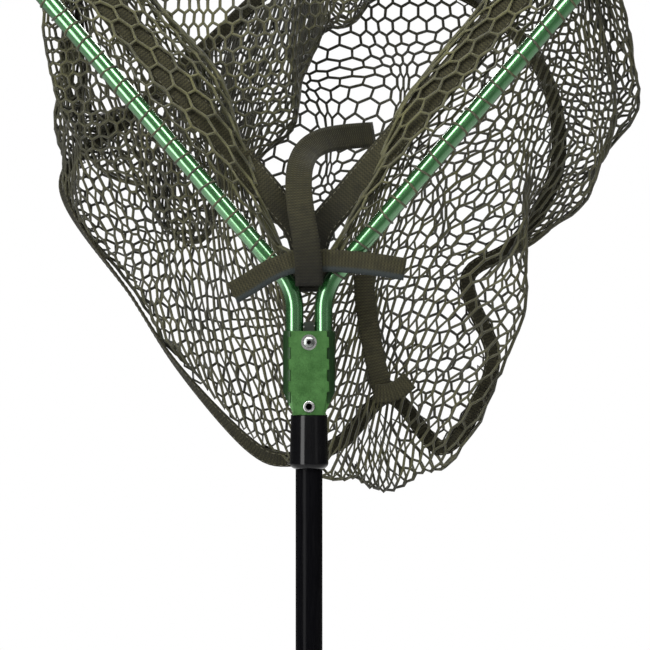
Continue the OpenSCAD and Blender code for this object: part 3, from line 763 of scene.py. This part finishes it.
# %% [markdown]
# ## Folds
#
# A net is cut larger than the space it hangs in. Three things follow. Its columns of mesh are bunched
# in some places and spread in others. It falls in pleats, which are waves of different widths, fixed
# at the hoop and at the seam, that lean because the cloth hangs straight down while the arms slope.
# And the slack at the top of the mouth hangs down inside it as a swag, which doubles the mesh there.
# Each set of bunches has a count round the mouth, a depth and a phase, and each set of pleats a count,
# a size, a phase and a lean.

# %% Folds
PLEATS = ((13, 7 * MM, 0.4, 0.5), (29, 3 * MM, 2.1, -0.8))
BUNCHES = ((1, 0.48, 0.0), (2, 0.3, 0.0), (3, 0.22, 0.0), (7, 0.16, 1.0), (19, 0.18, 2.7))
FOLDS_START, FOLDS_END = (0.12, 0.4), (0.8, 0.98)
SWAG_DROP = 188 * MM
SWAG_PLACE, SWAG_POWER = 0.565, 1.4
LINE_STEPS = 70


def bunched(share):
    """Place round the mouth of a column of mesh, from its share of all the columns."""
    return share + sum(
        depth / (2 * math.pi * count) * math.sin(2 * math.pi * count * share + phase)
        for count, depth, phase in BUNCHES
    )


def ease(value, low, high):
    """0 below low, 1 above high, and a smooth step between."""
    t = np.clip((value - low) / (high - low), 0, 1)
    return t * t * (3 - 2 * t)


def hung_lines(count):
    """Lines down the folded wall, from the hoop to the seam, at even shares of its columns."""
    v = np.linspace(0, 1, LINE_STEPS + 1)
    lines = []
    for k in range(count):
        u = bunched(k / count)
        line = wall_at(u, v)
        line[:, 2] -= SWAG_DROP * slack_near(u, SWAG_PLACE) * np.sin(math.pi * v) ** SWAG_POWER
        lines.append(line)
    lines = np.array(lines)
    around = np.roll(lines, -1, axis=0) - np.roll(lines, 1, axis=0)
    normals = np.cross(around, np.gradient(lines, axis=1))
    normals /= np.maximum(1e-12, np.linalg.norm(normals, axis=2, keepdims=True))
    share = np.arange(count)[:, None] / count
    waves = sum(
        size * np.sin(2 * math.pi * (number * share + lean * v[None, :]) + phase)
        for number, size, phase, lean in PLEATS
    )
    free = ease(v, *FOLDS_START) * (1 - ease(v, *FOLDS_END))
    return lines + normals * (waves * free[None, :])[..., None]


print(f"{len(PLEATS)} sets of pleats, and {len(BUNCHES)} waves that bunch the mesh")

# %% [markdown]
# ## Netting
#
# Knotless netting is a field of hexagons. Joining the middles of the triangles in a triangular grid
# gives exactly that, which Geometry Nodes calls the dual mesh. So the script lays a grid of triangles
# on the bag, and a node tree turns it into hexagons and pulls their corners about a little, as a used
# net does. The wireframe modifier then makes each edge a twine with joined corners.

# %% Netting tree
GEOMETRY = "NodeSocketGeometry"
MATERIAL = "NodeSocketMaterial"


def geometry_tree(name, inputs):
    """An empty geometry tree with a geometry in and out, and named inputs."""
    given = [("Geometry", GEOMETRY, None), *inputs, ("Material", MATERIAL, None)]
    return new_group(name, given, [("Geometry", GEOMETRY)], "GeometryNodeTree")


def close_tree(tree, geometry, material, out):
    """End a tree in Realize Instances and Set Material."""
    real = put(tree, "GeometryNodeRealizeInstances", {0: geometry})
    finish = put(tree, "GeometryNodeSetMaterial", {"Geometry": real.outputs[0], "Material": material})
    fill(tree, out, {"Geometry": finish.outputs[0]})


def use_tree(obj, tree, values):
    """Put a geometry tree on an object and set its inputs by their identifiers."""
    modifier = obj.modifiers.new(tree.name, "NODES")
    modifier.node_group = tree
    for item in tree.interface.items_tree:
        if item.in_out == "INPUT" and item.name in values:
            modifier[item.identifier] = values[item.name]


def to_plain_mesh(obj):
    """Replace an object's mesh by its evaluated one and drop its modifiers."""
    bpy.context.view_layer.update()
    graph = bpy.context.evaluated_depsgraph_get()
    mesh = bpy.data.meshes.new_from_object(obj.evaluated_get(graph))
    old = obj.data
    obj.modifiers.clear()
    obj.data = mesh
    mesh.name = obj.name
    if old.users == 0:
        bpy.data.meshes.remove(old)


def spread(tree, value, size):
    """Random numbers from 0 to 1, moved to lie round zero and scaled."""
    return vector(tree, "SCALE", vector(tree, "SUBTRACT", value, (0.5, 0.5, 0.5)), size)


def netting_tree():
    """Triangles in, the edges of uneven hexagons out."""
    tree, given, out = geometry_tree("netting", [("Pull", VALUE, 0.002), ("Pull width", VALUE, 60.0)])
    cells = put(tree, "GeometryNodeDualMesh", {"Mesh": given["Geometry"]})
    noise = put(tree, "ShaderNodeTexNoise", {"Scale": given["Pull width"], "Detail": 3.0})
    pull = spread(tree, noise.outputs["Color"], given["Pull"])
    moved = put(tree, "GeometryNodeSetPosition", {"Geometry": cells.outputs[0], "Offset": pull})
    close_tree(tree, moved.outputs[0], given["Material"], out)
    return tree


NETTING = netting_tree()
print("tree", NETTING.name)

# %% Twine finish
FRONT_TONE, BACK_PAINTED_SHADE, LOOP_PAINTED_SHADE = 1.0, 0.32, 0.6
PAINTED_SHADE_DEPTH = 110 * MM


def twine_finish(name, front, back):
    """Olive-brown twine: dull, slightly hairy, with painted shade that darkens it towards the back of the
    bag.
    """
    material = hard_finish(
        name, (0.078, 0.075, 0.023), (0.012, 0.0118, 0.0025), (0.6, 0.85), patch=45.0, grain=1400.0, bump=0.4
    )
    tree, shader, plain = opened(material)
    axes = put(tree, "ShaderNodeSeparateXYZ", {0: object_place(tree)}).outputs
    # Painted shade: the tone falls from front to back as the twine lies deeper in the bag
    tone = fade(tree, axes["Y"], 0.0, PAINTED_SHADE_DEPTH, front, back)
    fill(tree, shader, {
        "Base Color": vector(tree, "SCALE", plain["Base Color"], tone), "Sheen Weight": 0.1,
    })
    return material


TWINE = twine_finish("olive_twine", FRONT_TONE, BACK_PAINTED_SHADE)
# The loops are the same twine drawn darker all over: painted shade
SHADED_LOOP_TWINE = twine_finish("loop_twine_painted_shade", LOOP_PAINTED_SHADE, LOOP_PAINTED_SHADE)
print("twine for the net and for the loops")

# %% Net wall
CELL = 11.2 * MM
ROW = 9.1 * MM
TWINE_D = 1.35 * MM
WIRE_SHARE = 1.8  # the wireframe's thickness in strands
PULL, PULL_WIDTH = 7 * MM, 42.0
SEAM_TURN = 17 * MM
FLOOR_MIDDLE = np.array([0, 104 * MM, yoke_top + 60 * MM])
columns = round(2 * rim_length / CELL)


def wall_triangles():
    """Triangles of even size along lines down the wall, turned in under the tape at the seam."""
    lines = hung_lines(2 * columns)
    ends = lines[:, -1]
    inward = FLOOR_MIDDLE - ends
    inward /= np.linalg.norm(inward, axis=1, keepdims=True)
    lines = np.concatenate([lines, (ends + SEAM_TURN * inward)[:, None]], axis=1)
    steps = np.linalg.norm(np.diff(lines, axis=1), axis=2)
    runs = np.concatenate([np.zeros((len(lines), 1)), np.cumsum(steps, axis=1)], axis=1)
    grid, points, faces = {}, [], []
    for j in range(int(runs[:, -1].max() / ROW) + 1):
        for k in range(j % 2, len(lines), 2):
            if j * ROW <= runs[k, -1]:
                grid[k, j] = len(points)
                points.append([np.interp(j * ROW, runs[k], lines[k, :, axis]) for axis in range(3)])
    for (k, j), a in grid.items():
        right, below, left = ((k + 2, j), (k + 1, j + 1), (k - 1, j + 1))
        for trio in ((right, below), (below, left)):
            b, c = (grid.get((p % len(lines), q)) for p, q in trio)
            if b is not None and c is not None:
                faces.append((a, b, c))
    return points, faces


def make_net(name, points, faces, node):
    """Hexagonal twine netting from a grid of triangles."""
    net = mesh_object(name, points, faces)
    use_tree(net, NETTING, {"Pull": PULL, "Pull width": PULL_WIDTH, "Material": TWINE})
    wire = net.modifiers.new("twine", "WIREFRAME")
    wire.thickness = WIRE_SHARE * TWINE_D
    wire.use_even_offset = False
    to_plain_mesh(net)
    smooth(net)
    on_head(net, node)
    return net


net_wall = make_net("netting_wall", *wall_triangles(), "net_wall")
print(f"{columns} columns of mesh in the wall, {len(net_wall.data.polygons)} faces")

# %% Net floor
TAPE_T = 1.4 * MM
FLOOR_BULGE = 42 * MM
FLOOR_STEP = NET_T + TAPE_T + 2 * SOFT_GAP
FLOOR_REACH = 260 * MM
FLOOR_EDGE = 1.03
FLOOR_LOOSE = (0.55, 1.0)
FLOOR_FOLDS = (
    # axis of the shift, its size, and the lengths along X and Z in which its wave turns one radian
    (0, 7 * MM, 11 * MM, 35 * MM), (0, 5 * MM, 23 * MM, -19 * MM),
    (1, 6 * MM, 16 * MM, 60 * MM), (2, 5 * MM, -41 * MM, 13 * MM),
)


def seam_outline(count=180):
    """Angle, distance and depth of the seam from the middle of the floor, sorted by angle."""
    points = np.array([seam_at(k / count) for k in range(count)]) - FLOOR_MIDDLE
    angle = np.arctan2(points[:, 2], points[:, 0])
    order = np.argsort(angle)
    return angle[order], np.hypot(points[:, 0], points[:, 2])[order], points[order, 1]


def floor_fold(x, z, share):
    """Shift of the floor's netting, in leaning waves, none at the seam."""
    shift = np.zeros(3)
    for axis, size, along_x, along_z in FLOOR_FOLDS:
        shift[axis] += size * math.sin(x / along_x + z / along_z)
    return (1 - ease(share, *FLOOR_LOOSE)) * shift


def floor_triangles():
    """Triangular grid over the floor panel, cut off at the seam and bulged back."""
    angles, reach, edge_y = seam_outline()
    span = round(FLOOR_REACH / CELL)
    grid, points, faces = {}, [], []
    for j in range(-span, span + 1):
        for i in range(-span, span + 1):
            x, z = (i + 0.5 * (j % 2)) * CELL, j * ROW
            angle = math.atan2(z, x)
            share = math.hypot(x, z) / np.interp(angle, angles, reach, period=2 * math.pi)
            if share <= FLOOR_EDGE:
                edge = np.interp(angle, angles, edge_y, period=2 * math.pi) + FLOOR_STEP
                y = edge * share + FLOOR_BULGE * math.sin(math.pi / 2 * (1 - share))
                grid[i, j] = len(points)
                points.append(FLOOR_MIDDLE + np.array([x, y, z]) + floor_fold(x, z, share))
    for (i, j), a in grid.items():
        k = i + j % 2
        for trio in (((i + 1, j), (k, j + 1)), ((k, j + 1), (k - 1, j + 1))):
            if all(p in grid for p in trio):
                faces.append((a, grid[trio[0]], grid[trio[1]]))
    return points, faces


net_floor = make_net("netting_floor", *floor_triangles(), "net_floor")
print(f"{len(net_floor.data.polygons)} faces in the floor's netting")

# %% [markdown]
# ## Twine loops on the hoop
#
# The edge meshes of the net pass round the tube, and show as thin lines that cross its highlight.
# Geometry Nodes sets rings of twine along the path of the hoop, each turned a little at random.

# %% Loops
LOOP_STEP = 12.6 * MM
LOOP_TILT = 0.35
LOOP_GAP = 0.45 * MM
LOOP_SHARE = 0.6
RING_SIDES, STRAND_SIDES = 20, 6
MOUTH_STEPS = 240


def path_points(tree, given):
    """Evenly spaced points along the edges that a tree is given."""
    path = put(tree, "GeometryNodeMeshToCurve", {"Mesh": given["Geometry"]}).outputs[0]
    return put(
        tree, "GeometryNodeCurveToPoints", {"Curve": path, "Length": given["Spacing"]}, mode="LENGTH"
    ).outputs


def loop_tree():
    """A path in, a row of leaning rings along it out."""
    tree, given, out = geometry_tree("loops", [
        ("Spacing", VALUE, 0.0126), ("Ring radius", VALUE, 0.0066), ("Twine radius", VALUE, 0.0006),
        ("Tilt", VALUE, 0.3), ("Seed", "NodeSocketInt", 4),
    ])
    points = path_points(tree, given)
    ring, strand = (
        put(tree, "GeometryNodeCurvePrimitiveCircle", {"Resolution": sides, "Radius": given[size]})
        for sides, size in ((RING_SIDES, "Ring radius"), (STRAND_SIDES, "Twine radius"))
    )
    loop = put(tree, "GeometryNodeCurveToMesh", {
        "Curve": ring.outputs[0], "Profile Curve": strand.outputs[0],
    })
    lean = put(tree, "FunctionNodeRandomValue", {"Seed": given["Seed"]}, data_type="FLOAT_VECTOR")
    tilt = spread(tree, lean.outputs[0], given["Tilt"])
    turned = put(tree, "FunctionNodeRotateRotation", {
        0: points["Rotation"],
        1: put(tree, "FunctionNodeEulerToRotation", {0: tilt}).outputs[0],
    }, rotation_space="LOCAL")
    set_out = put(tree, "GeometryNodeInstanceOnPoints", {
        "Points": points[0], "Instance": loop.outputs[0], "Rotation": turned.outputs[0],
    })
    shaded = put(tree, "GeometryNodeSetShadeSmooth", {0: set_out.outputs[0]})
    close_tree(tree, shaded.outputs[0], given["Material"], out)
    return tree


def path_object(name, rows):
    """Chains of edges, one through each row of points."""
    points, edges = [], []
    for row in rows:
        edges += [(len(points) + k, len(points) + k + 1) for k in range(len(row) - 1)]
        points += list(row)
    return mesh_object(name, points, [], edges)


loops = path_object("rim_loops", [[hoop_at(k / MOUTH_STEPS)[0] for k in range(MOUTH_STEPS + 1)]])
use_tree(loops, loop_tree(), {
    "Spacing": LOOP_STEP, "Ring radius": tube_r + LOOP_GAP, "Twine radius": LOOP_SHARE * TWINE_D,
    "Tilt": LOOP_TILT, "Material": SHADED_LOOP_TWINE,
})
to_plain_mesh(loops)
on_head(loops)
print(f"{len(loops.data.polygons)} faces in the loops")

# %% [markdown]
# ## Webbing
#
# The tapes are flat woven webbing. Each is a strip of quads along a route, with a map that runs
# across the tape in one direction and along it in the other, both in metres. The weave is drawn from
# that map, so it follows every bend, and a solidify modifier gives the cloth its thickness.

# %% Webbing finish
KNOT_SHADE = 0.2
RIB_SHARE = 0.8
WEAVE_BAND, CLOTH_BAND, EDGE_BAND = (-1.6, 1.6), (0.08, 0.5), (0.4, 0.6)
WEB_LIGHT = np.array([0.031, 0.0285, 0.0115])
WEB_DARK = np.array([0.0072, 0.0066, 0.0026])
WEB_EDGE_REFLECTION = (0.015, 0.019, 0.019, 1)
WEAVE_DEPTH = 0.5 * MM


def weave_group():
    """A ribbed weave from the tape's own map, with a painted grey reflection along one edge of the tape."""
    group, given, out = new_group(
        "weave",
        [
            ("Thread", VALUE, 0.0011), ("Half width", VALUE, 0.01),
            ("Light", COLOUR, (0.08, 0.06, 0.04, 1)), ("Dark", COLOUR, (0.03, 0.02, 0.015, 1)),
            ("Edge", COLOUR, (0.05, 0.06, 0.06, 1)), ("Edge side", VALUE, 1.0),
            ("Length", VALUE, 1.0), ("Shade", VALUE, 0.05),
        ],
        [("Colour", COLOUR), ("Height", VALUE)],
    )
    place = put(group, "ShaderNodeUVMap", uv_map="tape").outputs[0]
    axes = put(group, "ShaderNodeSeparateXYZ", {0: place}).outputs
    threads = (calc(group, "DIVIDE", axes[axis], given["Thread"]) for axis in (0, 1))
    across, along = (calc(group, "SINE", calc(group, "MULTIPLY", count, math.pi)) for count in threads)
    cross = calc(group, "MULTIPLY", across, along)
    woven = calc(group, "ADD", cross, calc(group, "MULTIPLY", along, RIB_SHARE))
    height = fade(group, woven, *WEAVE_BAND)
    noise = put(group, "ShaderNodeTexNoise", {"Vector": place, "Scale": 160.0, "Detail": 5.0}).outputs["Fac"]
    worn = fade(group, calc(group, "MULTIPLY", height, noise), *CLOTH_BAND)
    cloth = blend(group, worn, given["Dark"], given["Light"])
    # A painted grey reflection along one edge stands for a fold that catches the light; Edge side picks the
    # edge, and 0 leaves none
    sided = calc(group, "MULTIPLY", axes[0], given["Edge side"])
    to_edge = calc(group, "DIVIDE", sided, given["Half width"])
    reflected_edge = blend(group, fade(group, to_edge, *EDGE_BAND), cloth, given["Edge"])
    nearest = calc(group, "MINIMUM", axes[1], calc(group, "SUBTRACT", given["Length"], axes[1]))
    shade = fade(group, nearest, 0.0, given["Shade"], KNOT_SHADE)
    fill(group, out, {"Colour": vector(group, "SCALE", reflected_edge, shade), "Height": height})
    return group


WEAVE = weave_group()


def webbing_finish(name, width, edge_side, tone, shade, length):
    """Dark brown webbing with a painted grey reflection along one edge, for a tape of this width."""
    material, tree, shader, weave = new_finish(name, WEAVE, {
        "Half width": width / 2, "Edge side": edge_side, "Shade": shade, "Length": length,
        "Light": (*(tone * WEB_LIGHT), 1), "Dark": (*(tone * WEB_DARK), 1), "Edge": WEB_EDGE_REFLECTION,
    })
    fill(tree, shader, {
        "Base Color": weave["Colour"], "Normal": bumped(tree, weave["Height"], 0.5, WEAVE_DEPTH),
        "Roughness": 0.85, "Sheen Weight": 0.05, "Specular IOR Level": 0.2,
    })
    return material


print("group", WEAVE.name)

# %% Tapes
ACROSS = 6
FAR = 100.0  # the length an open tape is given, so that only its start is shaded
NO_SHADE = 1e-6


def tape(
    name, middles, acrosses, width, held, rests_on, node=None,
    closed=False, edge_side=0.0, tone=1.0, shade=NO_SHADE,
):
    """A woven strip: middle points, unit directions across it, and its width."""
    points, maps, faces = [], [], []
    run = 0.0
    count = len(middles)
    for i in range(count + int(closed)):
        middle, across = np.array(middles[i % count]), np.array(acrosses[i % count])
        if i:
            run += np.linalg.norm(middle - np.array(middles[i - 1]))
        for k in range(ACROSS + 1):
            offset = width * (k / ACROSS - 0.5)
            maps.append((offset, run))
            if i < count:
                points.append(middle + offset * across)
    side = ACROSS + 1
    for i in range(count - 1 + int(closed)):
        for k in range(ACROSS):
            a = i * side + k
            faces.append((a, a + 1, a + side + 1, a + side))
    obj = mesh_object(name, points, [tuple(p % len(points) for p in face) for face in faces])
    layer = obj.data.uv_layers.new(name="tape")
    for polygon, face in zip(obj.data.polygons, faces):
        for loop, corner in zip(polygon.loop_indices, face):
            layer.data[loop].uv = maps[corner]
    thick = obj.modifiers.new("thickness", "SOLIDIFY")
    thick.thickness = TAPE_T
    thick.offset = 0
    dress(obj, webbing_finish(name + "_finish", width, edge_side, tone, shade, run if closed else FAR))
    to_plain_mesh(obj)
    smooth(obj)
    on_head(obj, node)
    print(f"{name} {width / MM:.0f} by {run / MM:.0f} mm")


print(f"tapes are {ACROSS} quads across and {TAPE_T / MM:.1f} mm thick")

# %% Rim and seam tapes
RIM_TAPE_INSET = 12 * MM
RIM_TAPE_W = 20 * MM
RIM_TAPE_STEP = 4 * MM
RIM_TAPE_TILT = 0.3
RIM_TAPE_GAP = 2.6 * MM
RIM_TAPE_SHARES = np.linspace(0, 0.6, 40)
RIM_TAPE_SHADE = 75 * MM
NEAR_CROTCH, CROTCH_ROOM, AMPLE_ROOM = 0.2, 0.55, 1.0
SEAM_TAPE_W = 11 * MM
SEAM_TAPE_TONE = 0.7
SEAM_NEAR = 0.004
SEAM_FACING = 0.8
SEAM_TURNED = 0.68
TURN_PLACE = 0.835
TAPE_STEPS = 240
TAPE_DEPTH = NET_T / 2 + SOFT_GAP + TAPE_T / 2
VIEW_AXIS = (0, 1, 0)
places = [(k + 0.5) / TAPE_STEPS for k in range(TAPE_STEPS)]


def unit(a):
    """The same direction with a length of one."""
    return np.array(a) / max(1e-9, np.linalg.norm(a))


def rim_band(u):
    """Middle of the rim tape and the direction across it: close behind the wall, turned to the viewer."""
    rim, inward, _ = rim_at(u)
    room = AMPLE_ROOM
    if min(u, 1 - u) < NEAR_CROTCH:
        room = CROTCH_ROOM * abs(rim[0] / inward[0]) + RIM_TAPE_STEP
    depth = min(RIM_TAPE_INSET + RIM_TAPE_W / 2, room)
    wall = wall_at(u, RIM_TAPE_SHARES)
    reach = (wall - rim) @ inward
    turn = int(reach.argmax()) + 1
    edges = np.array([-0.5, 0, 0.5]) * RIM_TAPE_W
    behind = np.interp(depth + edges, reach[:turn], wall[:turn, 1]) + RIM_TAPE_GAP
    back = (behind - RIM_TAPE_TILT * edges).max()
    return rim + depth * inward + np.array([0, back, 0]), unit(inward + np.array([0, RIM_TAPE_TILT, 0]))


def seam_band(u):
    """Middle of the seam tape and the direction across it: in front of the seam, turned to the viewer."""
    along = seam_at(u + SEAM_NEAR) - seam_at(u - SEAM_NEAR)
    flat = unit(np.cross(along, VIEW_AXIS))
    flat *= math.copysign(1.0, flat @ (seam_at(u) - FLOOR_MIDDLE))
    place = seam_at(u) - np.array([0, TAPE_DEPTH + NET_T, 0])
    share = SEAM_FACING - SEAM_TURNED * slack_near(u, TURN_PLACE, 3)
    return place, unit(share * flat + np.array([0, 1 - share, 0]))


def all_round(band):
    """The middles of a band at even places round the mouth, and the directions across it."""
    return (np.array(part) for part in zip(*(band(u) for u in places)))


def wall_tape(name, band, width, node, tone, shade):
    """A closed tape that follows the wall all round the mouth."""
    tape(
        name, *all_round(band), width, "stretched", ["netting_wall"], node,
        closed=True, tone=tone, shade=shade,
    )


wall_tape("rim_webbing", rim_band, RIM_TAPE_W, "rim_tape", 1.0, RIM_TAPE_SHADE)
wall_tape("seam_webbing", seam_band, SEAM_TAPE_W, "seam_tape", SEAM_TAPE_TONE, NO_SHADE)

# %% [markdown]
# ## Stitching
#
# Two rows of stitches hold the rim tape and the seam tape to the net, and they show on both faces. A
# stitch is a bead stretched along the row. Geometry Nodes sets one every few millimetres on lines along
# the faces of the tape, which is far less work than placing them one by one.

# %% Stitches
STITCH_STEP = 4.4 * MM
STITCH_L = 2.9 * MM
STITCH_T = 0.75 * MM
STITCH_ROW = 0.4


def stitch_tree():
    """Paths in, a stretched bead every few millimetres along them out."""
    tree, given, out = geometry_tree("stitches", [
        ("Spacing", VALUE, 0.004), ("Length", VALUE, 0.0026), ("Thickness", VALUE, 0.0007),
    ])
    points = path_points(tree, given)
    bead = put(tree, "GeometryNodeMeshUVSphere", {"Segments": 6, "Rings": 4, "Radius": 0.5})
    size = put(tree, "ShaderNodeCombineXYZ", {
        0: given["Thickness"], 1: given["Thickness"], 2: given["Length"],
    })
    set_out = put(tree, "GeometryNodeInstanceOnPoints", {
        "Points": points[0], "Instance": bead.outputs[0],
        "Rotation": points["Rotation"], "Scale": size.outputs[0],
    })
    shaded = put(tree, "GeometryNodeSetShadeSmooth", {0: set_out.outputs[0]})
    close_tree(tree, shaded.outputs[0], given["Material"], out)
    return tree


def stitch_rows(band, width):
    """Two closed rows on each face of a tape that follows the wall."""
    middles, acrosses = all_round(band)
    along = np.roll(middles, -1, axis=0) - np.roll(middles, 1, axis=0)
    normals = np.cross(acrosses, along)
    normals /= np.linalg.norm(normals, axis=1, keepdims=True)
    rows = []
    for face in (-TAPE_T / 2, TAPE_T / 2):
        for side in (-STITCH_ROW * width, STITCH_ROW * width):
            row = middles + side * acrosses + face * normals
            rows.append(np.vstack([row, row[:1]]))
    return rows


THREAD = hard_finish("sewing_thread", (0.062, 0.058, 0.032), (0.030, 0.028, 0.015), (0.55, 0.75))
STITCHES = stitch_tree()
for name, band, width in (
    ("rim_stitches", rim_band, RIM_TAPE_W), ("seam_stitches", seam_band, SEAM_TAPE_W),
):
    sewn = path_object(name, stitch_rows(band, width))
    use_tree(sewn, STITCHES, {
        "Spacing": STITCH_STEP, "Length": STITCH_L, "Thickness": STITCH_T, "Material": THREAD,
    })
    to_plain_mesh(sewn)
    on_head(sewn)
    print(f"{name} with {len(sewn.data.polygons)} faces")

# %% [markdown]
# ## The knot and the loose tapes
#
# A tape is tied round the crotch of the hoop. Its two tails lie across the bends of the tube, a turn
# of the same tape wraps over them, and a fold of it hangs between the legs. From the knot one tape
# runs slack up into the mouth, and another hangs beside the yoke down to the seam.

# %% Loose tapes
def route(points, closed=False, steps=8):
    """Smooth run of places through a few chosen points, heights from the yoke's top."""
    points = [np.array(p) * MM + np.array([0, 0, yoke_top]) for p in points]
    if closed:
        padded = [points[-1], *points, points[0], points[1]]
    else:
        padded = [2 * points[0] - points[1], *points, 2 * points[-1] - points[-2]]
    run = [
        spline(*padded[i - 1:i + 3], k / steps) for i in range(1, len(padded) - 2) for k in range(steps)
    ]
    return run if closed else run + [points[-1]]


def facing(run):
    """Directions across a strip that faces the viewer."""
    last = len(run) - 1
    return [
        unit(np.cross(run[min(i + 1, last)] - run[max(i - 1, 0)], VIEW_AXIS)) for i in range(last + 1)
    ]


TIE_ROUTE = (
    (-51, -10.6, 25), (-39, -9.6, 32), (-26, -7.6, 40), (-10, -9.1, 46),
    (10, -9.1, 47), (28, -7.3, 46), (46, -9.1, 44), (64, -11.1, 41),
)
WRAP_ROUTE = (
    (-1, -12.0, 57), (0, -12.8, 46), (1, -11.6, 36), (1, -5, 33),
    (1, 2, 38), (0, 4, 47), (-1, 2, 57), (-1, -5, 61),
)
FOLD_ROUTE = (
    (-1, 13, 60), (0, 13, 48), (1, 12.5, 38), (1, 12, 31),
    (0, 15.5, 27), (-1, 19, 31), (-1, 19.5, 45), (0, 18, 58),
)
SLACK_ROUTE = (
    (0, -13.4, 30), (-0.5, -14.2, 46), (-2, -13.5, 60), (-5, -7, 78), (-7, 4, 96),
    (-6, 20, 112), (-1, 40, 124), (9, 60, 132), (24, 84, 137), (46, 109, 141),
)
DROP_ROUTE = ((37, 15, 38), (38, 22, 20), (41, 27, 2), (44, 31, -16), (48, 36, -32), (51, 40, -44))
TAIL_ROUTE = ((45, 36, -43), (53, 34.5, -43), (61, 36, -40), (69, 39, -34))
TIE_W, WRAP_W, FOLD_W = 15 * MM, 17 * MM, 22 * MM
SLACK_W, DROP_W, TAIL_W = 18 * MM, 14 * MM, 13 * MM
SLACK_SHADE = 62 * MM
SIDEWAYS = np.array([1.0, 0, 0])


def loose_tape(name, points, width, held, rests_on, node=None, **look):
    """A tape along a few chosen points that faces the viewer."""
    run = route(points)
    tape(name, run, facing(run), width, held, rests_on, node, **look)


loose_tape("tie_webbing", TIE_ROUTE, TIE_W, "folded", ["hoop"], "tie_tape", edge_side=-1.0)
wrap = route(WRAP_ROUTE, closed=True)
# The turn round the knot is drawn at 0.35 of the tape's tone: painted shade in the knot
tape(
    "knot_webbing", wrap, [SIDEWAYS] * len(wrap), WRAP_W, "folded", ["tie_webbing"], closed=True, tone=0.35
)
fold = route(FOLD_ROUTE)
# The fold between the legs is drawn at 0.4 of the tape's tone: painted shade
tape("fold_webbing", fold, [SIDEWAYS] * len(fold), FOLD_W, "folded", ["knot_webbing"], tone=0.4)
loose_tape(
    "slack_webbing", SLACK_ROUTE, SLACK_W, "hung", ["knot_webbing"], "slack_tape",
    tone=0.95, shade=SLACK_SHADE,
)
loose_tape("drop_webbing", DROP_ROUTE, DROP_W, "hung", ["netting_wall"], "drop_tape")
loose_tape("tail_webbing", TAIL_ROUTE, TAIL_W, "folded", ["drop_webbing"])
